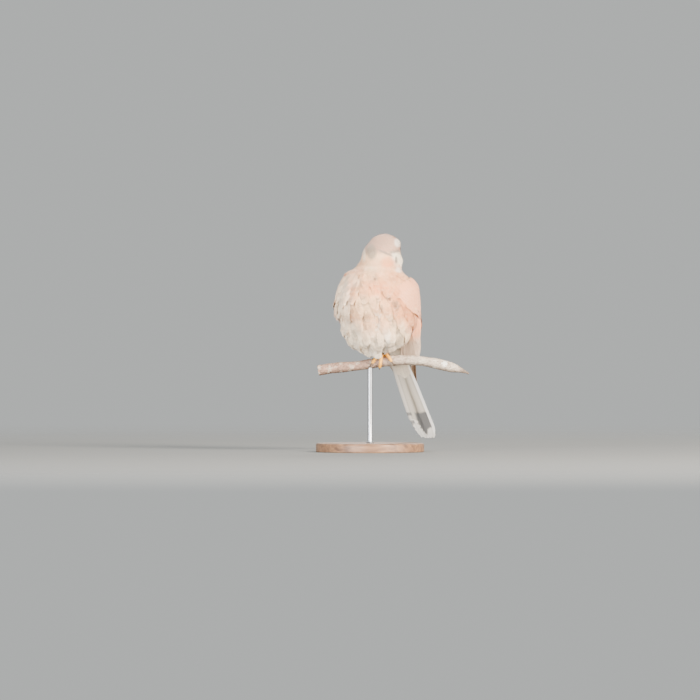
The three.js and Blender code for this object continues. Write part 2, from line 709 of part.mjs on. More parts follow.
// A feather of the wing, from one place on the sheet to another. Its edge nearer the leading edge is raised by the
// tilt, so that each feather lies over the one before it as shingles do.
function wingFeather(sheet, side, { from, to, half, lifts, tilt = 0, steps = 4 }) {
  const sections = Array.from({ length: steps + 1 }, (_, i) => {
    const t = 1 - (1 - i / steps) ** 1.25;
    const along = lerp(from[0], to[0], t);
    const across = lerp(from[1], to[1], t);
    const nearRoot = lerp(lifts[0], lifts[1], smoothstep(t, 0, 0.5));
    const lift = t < 0.5 ? nearRoot : lerp(lifts[1], lifts[2], (t - 0.5) * 2);
    const out = sheet.outward(along, across);
    const chord = sheet.raw(along, across + 0.02).sub(sheet.raw(along, across - 0.02));
    const crosswise = chord.projectOnPlane(out).normalize();
    const width = half * vaneWidth(t);
    const raised = Math.tan(tilt) * width;
    const middle = sheet.at(along, across, lift);
    const leading = middle.clone().addScaledVector(crosswise, -width).addScaledVector(out, raised);
    const trailing = middle.clone().addScaledVector(crosswise, width).addScaledVector(out, -raised);
    return side > 0 ? { left: leading, right: trailing, out } : { left: trailing, right: leading, out };
  });
  return vane(sections, VANE_THICKNESS);
}

// Primaries, the outermost and longest lowest: each next one is shorter, nearer the back and a level higher
function primaries() {
  return [1, 0.975, 0.945, 0.91, 0.87, 0.825].map((tip, i) => ({
    from: [0.33, 0.16 + 0.1 * i],
    to: [tip, 0.25 + 0.08 * i],
    half: 5.6,
    lifts: [-6.5, -3.6 + 0.3 * i, -1.6 + LEVEL_STEP * i],
    tilt: radians(4),
    steps: 6,
  }));
}

// Secondaries, shingled from the leading edge to the back over the primaries
function secondaries() {
  return [0, 1, 2, 3, 4, 5].map((i) => ({
    from: [0.26, 0.18 + 0.11 * i],
    to: [0.635 - 0.012 * i, 0.2 + 0.115 * i],
    half: 5.8,
    lifts: [-3.8, -1.6, -1.2],
    tilt: radians(9),
  }));
}

function tertials() {
  return [0, 1, 2].map((i) => ({
    from: [0.22, 0.76 + 0.09 * i],
    to: [0.57 - 0.035 * i, 0.82 + 0.07 * i],
    half: 6.2,
    lifts: [-2.8, 0.6, 0.8 + 0.2 * i],
    tilt: radians(9),
  }));
}

// Greater coverts over the roots of the flight feathers
function greaterCoverts() {
  return [0, 1, 2, 3, 4, 5, 6, 7].map((i) => ({
    from: [0.13, 0.08 + 0.115 * i],
    to: [0.37 + 0.035 * Math.sin((i / 7) * Math.PI), 0.07 + 0.12 * i],
    half: 4.6,
    lifts: [-1.4, 0.6, 0.4],
    tilt: radians(9),
    steps: 3,
  }));
}

function makeWing(side) {
  const sheet = wingSheet(side);
  const rows = [primaries(), secondaries(), tertials(), greaterCoverts()].flat();
  const feathers = rows.map((row) => wingFeather(sheet, side, row));
  const wing = joined([wingCore(sheet), ...feathers]);
  return wing.subtract(torsoForm(CLEARANCE)).subtract(tailCore(CLEARANCE));
}

// Materials and nodes

function finish(color, roughness, metalness = 0) {
  return new THREE.MeshStandardMaterial({ color, roughness, metalness });
}

const RUFOUS = finish('#b5835d', 0.85);
const BUFF = finish('#d9c0a2', 0.9);
const GREY = finish('#a39a94', 0.9);
const TAIL_GREY = finish('#a9a7a0', 0.85);
const SKIN = finish('#d9b04a', 0.55);
const HORN = finish('#5b6068', 0.4);
const EYE = finish('#1d1410', 0.05);
const BARK = finish('#8d8074', 0.95);
const WOOD = finish('#7a5a3e', 0.5);
const STEEL = finish('#b8babc', 0.3, 1);

const kestrel = new THREE.Group();

function place(name, body, material) {
  const mesh = new THREE.Mesh(geometryOf(body), material);
  mesh.name = name;
  kestrel.add(mesh);
}

const ROD_TOP = perchAt(0).clone().setX(0).setY(0);
ROD_TOP.z += -PERCH_RADIUS + ROD_SOCKET_DEPTH;

place('stand_base', makeBase(), WOOD);
place('stand_rod', makeRod(ROD_TOP), STEEL);
place('perch', makePerch(ROD_TOP), BARK);
place('torso', makeTorso(), BUFF);
place('neck', makeNeck(), BUFF);
place('head', makeHead(), GREY);
place('eye_left', makeEye(EYES[0]), EYE);
place('eye_right', makeEye(EYES[1]), EYE);
place('bill_upper', makeUpperBill(), HORN);
place('bill_lower', makeLowerBill(), HORN);
place('wing_left', makeWing(1), RUFOUS);
place('wing_right', makeWing(-1), RUFOUS);
place('tail', makeTail(), TAIL_GREY);
place('leg_left', makeShank(), SKIN);
place('foot_left', makeFoot(), SKIN);
place('foot_right', makeFist(), SKIN);

export default kestrel;
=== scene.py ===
import math
from functools import partial

import bmesh
import bpy
import numpy as np
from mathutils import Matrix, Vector
from mathutils.bvhtree import BVHTree


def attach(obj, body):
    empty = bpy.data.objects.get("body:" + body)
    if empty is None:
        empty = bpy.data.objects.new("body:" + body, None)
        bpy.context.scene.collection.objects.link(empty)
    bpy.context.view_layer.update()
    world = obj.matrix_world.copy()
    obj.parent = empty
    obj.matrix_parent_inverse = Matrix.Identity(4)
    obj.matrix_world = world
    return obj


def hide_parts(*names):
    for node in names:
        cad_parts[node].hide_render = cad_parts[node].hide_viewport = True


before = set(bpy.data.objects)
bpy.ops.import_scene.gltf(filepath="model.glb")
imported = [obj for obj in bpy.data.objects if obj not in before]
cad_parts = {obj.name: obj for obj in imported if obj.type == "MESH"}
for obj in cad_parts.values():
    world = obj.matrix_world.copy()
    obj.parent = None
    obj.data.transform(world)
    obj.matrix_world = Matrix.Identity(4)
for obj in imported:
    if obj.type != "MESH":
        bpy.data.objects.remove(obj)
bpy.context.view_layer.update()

MM = 0.001
SEED = 11

# Where the body stands and turns, and where the head is, as in the part's source
BODY_X, BODY_Y, BODY_TURN = 10, 0, math.radians(30)
HEAD_X, HEAD_Y, HEAD_TURN = 16.3, -4, math.radians(32)
NECK_FOOT, HEAD_FOOT = 236, 249.5
TAIL_LENGTH, TAIL_LEAN = 167.5, math.radians(35.5)
TAIL_ROOT_BACK, TAIL_ROOT_HEIGHT = 38, 152.3
PERCH_RADIUS, FOOT_X = 6.6, 17
EYE_RADIUS, EYE_FORWARD, EYE_SIDE, EYE_HEIGHT, EYE_TURN = 5.4, 13.8, 13.6, 270.5, math.radians(54)
BILL_FORWARD, BILL_HEIGHT = 23.7, 265.5
GAP = 0.3

# The fluffed coat's outline. Each station: height, shift forward, half width, and reach in front and behind
TRUNK = [
    [127.2, 9, 7, 9, 7], [130, 8.5, 14, 15, 12], [134, 7, 22, 22, 19], [140, 4, 34, 34, 31],
    [150, 1, 42.5, 43, 41], [160, 0, 46, 48, 44], [173, 0, 50, 55, 46], [184, 0, 53.5, 62, 46.5],
    [196, 0, 55, 66, 46.5], [209, 0.5, 53.5, 61, 45], [222, 2, 49.5, 52, 43], [229, 3.5, 46, 46, 40],
    [236, 6, 41, 39, 36], [242, 7, 36, 35, 33], [250, 4, 31, 31, 30],
]
SKULL = [
    [236, -1.2, 36.7, 37.2, 38], [243, -1.5, 31.8, 32, 34], [251, -1.8, 28.1, 29.3, 32],
    [256, -1.7, 26.7, 28.5, 30.8], [261, -1.6, 25.5, 27.9, 30], [266, -1.4, 24.2, 28, 29],
    [271.4, -0.2, 23.1, 27.3, 26], [276.7, 2.1, 21.4, 24.8, 20.8], [280.5, 3.8, 18.8, 21.6, 17],
    [284.5, 5, 15, 16.9, 12.8], [288, 6, 10, 10.9, 8.5], [290, 6.3, 4.9, 5.1, 4.4], [290.7, 6, 2.2, 2, 2],
]

# The photograph's frame: 700 pixels across, and what a pixel is at the bird
PHOTO_PIXELS = 700
PIXEL = 1.33
PHOTO_X, PHOTO_BASE_ROW, BASE_ROW_HEIGHT = 370, 438.5, 18


def photo_point(column, row):
    """The place across and up of a pixel of the photograph."""
    return (column - PHOTO_X) * PIXEL, BASE_ROW_HEIGHT + (PHOTO_BASE_ROW - row) * PIXEL


# Small helpers for numbers

def unit(v):
    return v / np.maximum(np.linalg.norm(v, axis=-1, keepdims=True), 1e-9)


def ease(x, low, high):
    t = np.clip((np.asarray(x, float) - low) / (high - low), 0, 1)
    return t * t * (3 - 2 * t)


def blend(a, b, share):
    return a + (b - a) * share


def column(values):
    return np.asarray(values, float)[..., None]


def ripple(points, size, seed):
    """Smooth noise between about -1 and 1, whose largest lumps are of a size."""
    draw = np.random.default_rng(seed)
    total = 0
    for octave in range(3):
        waves = unit(draw.normal(size=(6, 3))) * math.tau / size * 1.9 ** octave
        total = total + np.sin(points @ waves.T + draw.uniform(0, math.tau, 6)).mean(-1) * 0.6 ** octave
    return total * 1.5


def linear(code):
    """An sRGB hex value as linear red, green and blue."""
    parts = np.array([int(code[i:i + 2], 16) / 255 for i in (1, 3, 5)])
    return np.where(parts <= 0.04045, parts / 12.92, ((parts + 0.055) / 1.055) ** 2.4)


def rgba(code):
    return (*linear(code), 1.0)


def stations_at(stations, height):
    """A table's values at heights, on a smooth curve through its rows."""
    table = np.array(stations, float)
    z, values = table[:, 0], table[:, 1:]
    last = len(z) - 1
    height = np.atleast_1d(np.asarray(height, float))
    i = np.clip(np.searchsorted(z, height, side="right") - 1, 0, last - 1)
    before, after = np.maximum(i - 1, 0), np.minimum(i + 2, last)
    span = column(z[i + 1] - z[i])
    t = np.clip((column(height) - column(z[i])) / span, 0, 1)
    start_slope = (values[i + 1] - values[before]) / column(z[i + 1] - z[before]) * span
    end_slope = (values[after] - values[i]) / column(z[after] - z[i]) * span
    return ((2 * t**3 - 3 * t**2 + 1) * values[i] + (t**3 - 2 * t**2 + t) * start_slope
            + (3 * t**2 - 2 * t**3) * values[i + 1] + (t**3 - t**2) * end_slope)


def smooth_line(points, count):
    """Evenly spaced points of a curve through a few points."""
    p = np.array(points, float)
    p = np.vstack([2 * p[0] - p[1], p, 2 * p[-1] - p[-2]])
    t = np.linspace(0, 1, 24, endpoint=False)[:, None]
    parts = [0.5 * (2 * b + (c - a) * t + (2 * a - 5 * b + 4 * c - d) * t**2 + (3 * b - a - 3 * c + d) * t**3)
             for a, b, c, d in zip(p, p[1:], p[2:], p[3:])]
    fine = np.vstack([*parts, p[-2:-1]])
    run = np.r_[0, np.cumsum(np.linalg.norm(np.diff(fine, axis=0), axis=1))]
    even = np.linspace(0, run[-1], count)
    return np.stack([np.interp(even, run, fine[:, k]) for k in range(3)], 1)


# The body's and the head's own directions

LEFT = np.array([math.cos(BODY_TURN), -math.sin(BODY_TURN), 0])
BACK = np.array([math.sin(BODY_TURN), math.cos(BODY_TURN), 0])
UP = np.array([0.0, 0, 1])
AHEAD = np.array([math.sin(HEAD_TURN), math.cos(HEAD_TURN), 0])
HEAD_LEFT = np.array([-math.cos(HEAD_TURN), math.sin(HEAD_TURN), 0])
TAIL_WAY = BACK * math.sin(TAIL_LEAN) - UP * math.cos(TAIL_LEAN)
TAIL_TOP = BACK * math.cos(TAIL_LEAN) + UP * math.sin(TAIL_LEAN)


def body_point(left, back, height):
    left, back, height = (column(v) for v in (left, back, height))
    return np.array([BODY_X, BODY_Y, 0]) + left * LEFT + back * BACK + height * UP


def head_point(forward, left, height):
    forward, left, height = (column(v) for v in (forward, left, height))
    return np.array([HEAD_X, HEAD_Y, 0]) + forward * AHEAD + left * HEAD_LEFT + height * UP


def in_body(p):
    q = p - np.array([BODY_X, BODY_Y, 0])
    return q @ LEFT, q @ BACK, p[..., 2]


def in_head(p):
    q = p - np.array([HEAD_X, HEAD_Y, 0])
    return q @ AHEAD, q @ HEAD_LEFT, p[..., 2]


def reach(section, angle):
    half, front, back = (column(section[:, k]) for k in (1, 2, 3))
    along = np.cos(angle) / np.where(np.cos(angle) > 0, front, back)
    return 1 / np.hypot(np.sin(angle) / half, along)


def outline(heights, sides):
    """The rims of the bird's sections, from the front round towards +X."""
    trunk, skull = stations_at(TRUNK, heights), stations_at(SKULL, heights)
    share = column(ease(heights, NECK_FOOT, HEAD_FOOT))
    middle = blend(body_point(0, -trunk[:, 0], heights), head_point(skull[:, 0], 0, heights), share)
    angle = np.arange(sides)[None, :] / sides * math.tau
    radius = blend(reach(trunk, angle + BODY_TURN), reach(skull, angle + HEAD_TURN - math.pi), share)
    way = np.stack([np.sin(angle), -np.cos(angle), 0 * angle], -1)
    return middle[:, None] + radius[..., None] * way


EYES = {}
for eye_name, eye_side in (("left", 1), ("right", -1)):
    eye_way = AHEAD * math.cos(EYE_TURN) + HEAD_LEFT * eye_side * math.sin(EYE_TURN)
    EYES[eye_name] = (head_point(EYE_FORWARD, eye_side * EYE_SIDE, EYE_HEIGHT), eye_way)


# Meshes

def select_none():
    if bpy.context.object and bpy.context.object.mode != "OBJECT":
        bpy.ops.object.mode_set(mode="OBJECT")
    bpy.ops.object.select_all(action="DESELECT")


def finish_piece(piece, material, replaces=(), angle=None):
    """Places a finished piece on the model's one body. Edges sharper than the angle stay sharp."""
    piece.data.materials.clear()
    piece.data.materials.append(material)
    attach(piece, "root")
    if replaces:
        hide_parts(*replaces)
    select_none()
    bpy.context.view_layer.objects.active = piece
    piece.select_set(True)
    if angle:
        bpy.ops.object.shade_smooth_by_angle(angle=math.radians(angle))
    else:
        bpy.ops.object.shade_smooth()
    select_none()
    return piece


def extruded(name, rings, hoop=False):
    """A circle laid on the first ring and extruded from ring to ring, as a closed form or as a closed hoop."""
    rings = np.asarray(rings, float) * MM
    if hoop:
        rings = np.vstack([rings, rings[:1]])
    select_none()
    bpy.ops.mesh.primitive_circle_add(vertices=len(rings[0]), radius=1, fill_type="NOTHING" if hoop else "NGON")
    piece = bpy.context.object
    piece.name = piece.data.name = name
    bpy.ops.object.mode_set(mode="EDIT")
    form = bmesh.from_edit_mesh(piece.data)
    corners = sorted(form.verts, key=lambda v: math.atan2(v.co.y, v.co.x) % math.tau)
    for corner, place in zip(corners, rings[0]):
        corner.co = place
    for before, after in zip(rings, rings[1:]):
        bpy.ops.mesh.extrude_region()
        form = bmesh.from_edit_mesh(piece.data)
        moved = [v for v in form.verts if v.select]
        at = np.array([v.co for v in moved])
        order = np.linalg.norm(at[:, None] - before[None], axis=2).argmin(1)
        for corner, k in zip(moved, order):
            corner.co = after[k]
    bpy.ops.mesh.select_all(action="SELECT")
    if hoop:
        bpy.ops.mesh.remove_doubles(threshold=1e-6)
    bpy.ops.mesh.normals_make_consistent(inside=False)
    bpy.ops.object.mode_set(mode="OBJECT")
    return piece


def points_of(piece, kind="co"):
    """A mesh's places in millimetres, or its normals."""
    flat = np.empty(len(piece.data.vertices) * 3, np.float32)
    piece.data.vertices.foreach_get(kind, flat)
    return flat.reshape(-1, 3).astype(float) / (MM if kind == "co" else 1)


def set_points(piece, points):
    piece.data.vertices.foreach_set("co", (points * MM).astype(np.float32).ravel())
    piece.data.update()


def tube_rings(line, radii, sides, shape=None):
    """Rings round a line. Shape may change each ring: it takes angles and shares along, and gives factors."""
    line = np.asarray(line, float)
    way = unit(np.gradient(line, axis=0))
    across = np.zeros_like(way)
    start = np.cross(way[0], UP if abs(way[0][2]) < 0.9 else LEFT)
    for k, one in enumerate(way):
        start = unit(start - one * (start @ one))
        across[k] = start
    lift = np.cross(across, way)
    angle = (np.arange(sides) / sides * math.tau)[None, :]
    radii = column(np.broadcast_to(radii, len(line)))
    if shape is not None:
        radii = radii * shape(angle, column(np.linspace(0, 1, len(line))))
    sideways, upwards = column(np.cos(angle) * radii), column(np.sin(angle) * radii)
    return line[:, None] + across[:, None] * sideways + lift[:, None] * upwards


def tint_points(piece, colours, name="tint"):
    """Colours for the material to read: one for each point, or one for all."""
    flat = np.ones((len(piece.data.vertices), 4), np.float32)
    flat[:, :3] = colours
    layer = piece.data.attributes.new(name, "FLOAT_COLOR", "POINT")
    layer.data.foreach_set("color", flat.ravel())


def set_map(mesh, name, per_vertex):
    """A UV map from one place for each vertex."""
    corner = np.empty(len(mesh.loops), np.int32)
    mesh.loops.foreach_get("vertex_index", corner)
    layer = mesh.uv_layers.new(name=name)
    layer.uv.foreach_set("vector", per_vertex[corner].astype(np.float32).ravel())


def ring_faces(rings, sides):
    """The four-sided faces between rings of points."""
    k, i = np.meshgrid(np.arange(rings - 1), np.arange(sides), indexing="ij")
    j = (i + 1) % sides
    return np.stack([k * sides + i, k * sides + j, (k + 1) * sides + j, (k + 1) * sides + i], -1).reshape(-1, 4)


# Feathers: closed thin blades, many to a piece, each with a rib along its middle

SMALL_SECTION = [(-1, 0), (0, 1), (1, 0), (0, -0.6)]
WIDE_SECTION = [(-1, 0), (-0.5, 0.7), (-0.06, 0.7), (0, 1.7), (0.06, 0.7), (0.5, 0.7), (1, 0), (0.5, -0.5),
                (0, -1), (-0.5, -0.5)]
# Corners of a section that are lower than this are on a feather's underside
UNDERSIDE = -0.4
# A coat feather's size on the baking map, and how far it shades as the coat does rather than on its own
PATCH, SOFTNESS = 0.003, 0.72


def piece_from(name, points, faces):
    """A mesh from arrays: its points in millimetres and its faces by their number of corners."""
    mesh = bpy.data.meshes.new(name)
    mesh.vertices.add(len(points))
    mesh.vertices.foreach_set("co", (points * MM).astype(np.float32).ravel())
    sizes = np.concatenate([np.full(len(f), f.shape[1]) for f in faces])
    corners = np.concatenate([f.ravel() for f in faces])
    mesh.loops.add(len(corners))
    mesh.loops.foreach_set("vertex_index", corners.astype(np.int32))
    mesh.polygons.add(len(sizes))
    mesh.polygons.foreach_set("loop_start", np.r_[0, np.cumsum(sizes)[:-1]].astype(np.int32))
    mesh.update(calc_edges=True)
    piece = bpy.data.objects.new(name, mesh)
    bpy.context.scene.collection.objects.link(piece)
    return piece


def feather_mesh(name, centre, across, up, half, thick, section, camber, sweep, patches, colours, marks, soft,
                 under=None, below=None):
    """Many feathers from their middle lines: arrays of feather, station and place.

    Soft holds the coat's outward ways, which the feathers' own are blended with, so that they shade as one soft
    coat. Under is the colour of their undersides, and below the undersides' marks.
    """
    count, stations = centre.shape[:2]
    s, h = np.array(section, float).T
    sides = len(s)
    way = unit(np.gradient(centre, axis=1))
    turned = np.einsum("fki,fki->", np.cross(across, up), way) < 0
    width = np.where(s < 0, half[..., :1], half[..., 1:])
    lift = h * column(np.broadcast_to(thick, (count, stations))) - camber * s**2 * width
    points = (centre[:, :, None] + across[:, :, None] * column(s * width)
              + up[:, :, None] * column(lift) + way[:, :, None] * column(sweep * np.abs(s) ** 1.5 * width))
    start = np.arange(count)[:, None, None] * stations * sides
    quads = ring_faces(stations, sides)[:, [0, 3, 2, 1]]
    caps = np.stack([np.arange(sides), np.arange(sides)[::-1] + (stations - 1) * sides])
    quads, caps = (start + quads).reshape(-1, 4), (start + caps).reshape(-1, sides)
    if turned:
        quads, caps = quads[:, ::-1], caps[:, ::-1]
    piece = piece_from(name, points.reshape(-1, 3), [quads, caps])
    vane = np.stack(np.broadcast_arrays(0.5 + 0.5 * s, column(np.linspace(0, 1, stations))), -1)
    vane = np.broadcast_to(vane.reshape(-1, 2), (count, stations * sides, 2))
    size = patches[:, None, 2:] if patches.shape[1] > 2 else PATCH
    set_map(piece.data, "OFBake", (patches[:, None, :2] + (vane - 0.5) * size).reshape(-1, 2))
    set_map(piece.data, "Vane", vane.reshape(-1, 2))
    low = np.tile(h < UNDERSIDE, count * stations)[:, None]
    shades = np.repeat(colours.reshape(-1, 3), sides, axis=0)
    if under is not None:
        shades = np.where(low, blend(shades, under, 0.75), shades)
    tint_points(piece, shades)
    every = np.repeat(marks, stations * sides, axis=0)
    if below is not None:
        every = np.where(low, np.repeat(below, stations * sides, axis=0), every)
    tint_points(piece, every, "mark")
    upper = np.where(h + np.roll(h, -1) >= 0, 1.0, -1.0)
    facing = np.r_[np.tile(np.repeat(np.tile(upper, stations - 1), 4), count), np.ones(caps.size)]
    place = np.r_[quads.ravel(), caps.ravel()] // sides
    outward = unit(blend(up, soft, SOFTNESS)).reshape(-1, 3)[place] * facing[:, None]
    piece.data.shade_smooth()
    piece.data.normals_split_custom_set(outward.tolist())
    return piece


def contour_profile(t, root=0.35, round_from=0.7, tip=1.02, blunt=0.985, full=0.5):
    """A feather's width along its length: narrow at its root, full from a share on, and round at its tip."""
    past = np.clip((t - round_from) / (tip - round_from), 0, blunt)
    return (root + (1 - root) * ease(t, 0, full)) * np.sqrt(1 - past**2)


def quill_profile(t, root=0.5, round_from=0.86):
    return contour_profile(t, root, round_from, 1.012, 0.99, 0.4)


# The coat's surface, and walks along it

COAT_SIDES = 112
COAT_HEIGHTS = np.r_[np.linspace(127.2, 150, 14), np.linspace(151.5, 250, 62), np.linspace(251, 284, 30),
                     285.2, 286.4, 287.5, 288.4, 289.2, 289.8, 290.3, 290.7]


# Where loose feathers fill the coat out or it draws in: the way round from -Y towards +X in degrees, the
# height, how far each of the two spreads, and how far out
BULGES = [
    (76, 172, 22, 13, 5.0), (38, 204, 14, 15, 3.2), (56, 190, 14, 10, 3.6), (14, 143, 12, 13, 3.0),
    (-98, 136, 34, 9, -3.0), (-88, 206, 26, 11, -2.6), (92, 246, 24, 7, -3.4), (80, 281, 40, 7, 2.3),
    (15, 128, 30, 5, 4.0), (-80, 226, 26, 10, -2.2), (80, 254, 28, 6, 1.9), (-85, 286, 40, 5, 2.4),
    (-85, 248, 26, 5, 2.6), (-96, 176, 28, 11, -2.2),
]


def bulged(rings, heights):
    """The rims with the flank over the wing's lower edge, the thigh, and the tucked lower left of the belly."""
    angle = np.degrees(np.arange(rings.shape[1]) / rings.shape[1] * math.tau)[None, :]
    way = np.stack([np.sin(np.radians(angle)), -np.cos(np.radians(angle)), 0 * angle], -1)
    out = 0
    for at, height, wide, high, far in BULGES:
        turn = (angle - at + 180) % 360 - 180
        out = out + far * np.exp(-(turn / wide) ** 2 - ((heights[:, None] - height) / high) ** 2)
    return rings + way * out[..., None]


# How many places are tried for each that is wanted, and how near two may be, as a share of the spacing squared
TRIES, CLOSEST = 7, 0.72


class CoatSurface:
    """The outline of the fluffed bird, with its smooth normals, for finding places on it."""

    def __init__(self):
        rings = bulged(outline(COAT_HEIGHTS, COAT_SIDES), COAT_HEIGHTS)
        along = np.gradient(rings, axis=0)
        around = (np.roll(rings, -1, axis=1) - np.roll(rings, 1, axis=1)) / 2
        self.rings = rings
        self.points = rings.reshape(-1, 3)
        self.normals = unit(np.cross(around, along)).reshape(-1, 3)
        self.faces = ring_faces(len(COAT_HEIGHTS), COAT_SIDES)
        below, above = range(COAT_SIDES)[::-1], range(len(self.points))[-COAT_SIDES:]
        faces = self.faces.tolist() + [list(below), list(above)]
        self.tree = BVHTree.FromPolygons(self.points.tolist(), faces)

    def nearest(self, places):
        """The nearest places on the coat, and its smooth normals there."""
        found, normals = np.empty_like(places), np.empty_like(places)
        for n, place in enumerate(places.tolist()):
            point, normal, face, _ = self.tree.find_nearest(place)
            found[n] = point
            if face < len(self.faces):
                corners = self.faces[face]
                near = 1 / (np.linalg.norm(self.points[corners] - np.array(point), axis=1) + 0.2) ** 2
                normals[n] = (self.normals[corners] * near[:, None]).sum(0)
            else:
                normals[n] = normal
        return found, unit(normals)

    def scatter(self, spacing, keep, seed):
        """Random places kept apart by a spacing, which is a function of the place."""
        draw = np.random.default_rng(seed)
        corners = self.points[self.faces]
        first, second, third, fourth = corners.transpose(1, 0, 2)
        area = np.linalg.norm(np.cross(third - first, fourth - second), axis=1) / 2
        middle = corners.mean(1)
        gap = spacing(middle)
        wanted = area * keep(middle) / gap**2
        tries = int(wanted.sum() * TRIES)
        pick = draw.choice(len(middle), tries, p=wanted / wanted.sum())
        a, b = draw.uniform(size=(2, tries, 1))
        places = blend(first[pick], second[pick], a) * (1 - b) + blend(fourth[pick], third[pick], a) * b
        cell = gap.max()
        limits = gap[pick] ** 2 * CLOSEST
        grid, kept = {}, []
        for n, (x, y, z) in enumerate(places.tolist()):
            i, j, k = int(x // cell), int(y // cell), int(z // cell)
            near = [place for u in (i - 1, i, i + 1) for v in (j - 1, j, j + 1) for w in (k - 1, k, k + 1)
                    for place in grid.get((u, v, w), ())]
            if all((x - u)**2 + (y - v)**2 + (z - w)**2 >= limits[n] for u, v, w in near):
                grid.setdefault((i, j, k), []).append((x, y, z))
                kept.append(n)
        return places[kept]


coat = CoatSurface()


def near_eye(p):
    return np.min([np.linalg.norm(p - centre, axis=-1) for centre, _ in EYES.values()], axis=0)


def near_bill(p):
    return np.linalg.norm(p - head_point(25, 0, 264.5), axis=-1)


def coat_depth(p):
    """How deep the feathers are over the skin."""
    z = p[..., 2]
    face = 1 - ease(near_bill(p), 10, 20) * ease(near_eye(p), 8, 14)
    return blend(7.0, 4.6, ease(z, 205, 245)) - 1.7 * ease(z, 246, 262) - 1.5 * face


def along_surface(direction, normal):
    return unit(direction - normal * (direction * normal).sum(-1, keepdims=True))


BILL_ROOT = head_point(24, 0, 266)


def lie(p, normal):
    """The way the feathers point: away from the bill on the head, and along the body below it."""
    body_way = unit(BACK * 0.5 - UP * 0.92)
    swirl = ripple(p, 46, SEED + 2)[..., None] * 0.22
    body = body_way + np.cross(normal, np.broadcast_to(body_way, p.shape)) * swirl
    away = unit(p - BILL_ROOT)
    far = column(ease(np.linalg.norm(p - BILL_ROOT, axis=-1), 30, 52))
    head = unit(blend(away, -UP * 1.2 + away * 0.5, far))
    share = column(ease(p[..., 2], 246, 260))
    return along_surface(blend(body, head, share), normal)


def photo_patch(p, normal, column_at, row_at, wide, high, turn=0):
    """How much a place lies under a soft oval of the photograph, on the side that the photograph shows."""
    x, z = photo_point(column_at, row_at)
    a = math.radians(turn)
    sideways, upwards = p[..., 0] - x, p[..., 2] - z
    along, over = sideways * math.cos(a) + upwards * math.sin(a), upwards * math.cos(a) - sideways * math.sin(a)
    spread = np.hypot(along / (wide * PIXEL), over / (high * PIXEL))
    return (1 - ease(spread, 0.55, 1.15)) * ease(-normal[..., 1], -0.25, 0.2)


# The bird's colours

BUFF = linear("#f0c193")
SALMON = linear("#f09b66")
CREAM = linear("#f4e4c8")
BELLY = linear("#f0d5b0")
RUFOUS = linear("#bd7549")
PALE_RUFOUS = linear("#f6ab7f")
# A grey warmed towards brown: partly the head's and rump's own grey, partly warm sunlight painted in
GREY = linear("#c1977c")
# Dark marks, and painted shade on the shaded left side of the head
DARK_MARK_AND_SHADE = linear("#8a7b68")
DARK_GREY = linear("#857468")
SLATE = linear("#5b544f")
WHITE = linear("#f3ece0")
# A cream brighter than the plumage's own: partly its pale colour, partly painted light on parts in shade
PALE_AND_LIT = linear("#fff0da")
INK = linear("#2e2723")
FLANK = linear("#b9a08a")


def within(x, low, full, end, past):
    """A share that rises from low to full and falls from end to past."""
    return ease(x, low, full) * (1 - ease(x, end, past))


def head_tint(p):
    """A grey crown over buff and cream, with the pale brow, the dark line behind the eye and the moustache."""
    forward, left, z = in_head(p)
    around = np.degrees(np.arctan2(np.abs(left), forward))
    nape = (1 - ease(z, 261, 268)) * ease(around, 108, 128)
    cheek = (1 - ease(z, 262, 269)) * (1 - ease(around, 112, 128))
    throat = (1 - ease(z, 258, 264)) * (1 - ease(around, 60, 80)) * 0.8
    lores = (1 - ease(near_bill(p), 9, 13)) * 0.8
    brow = np.exp(-((z - 277.5 - 0.05 * around) / 1.6) ** 2) * within(around, 12, 30, 60, 85) * 0.55
    eye_line = np.exp(-((z - 268 + (around - 75) * 0.05) / 2) ** 2) * within(around, 66, 80, 118, 135) * 0.8
    moustache = np.exp(-((around - 41 - (266 - z) * 0.25) / 7) ** 2) * within(z, 243, 251, 265, 268.5) * 1.25
    colour = np.broadcast_to(GREY, p.shape)
    for paint, amount in ((BUFF, nape), (CREAM, cheek), (WHITE, throat), (WHITE, lores), (WHITE, brow),
                          (DARK_GREY, eye_line), (SLATE * 0.5, moustache)):
        colour = blend(colour, paint, column(np.clip(amount, 0, 1)))
    return colour


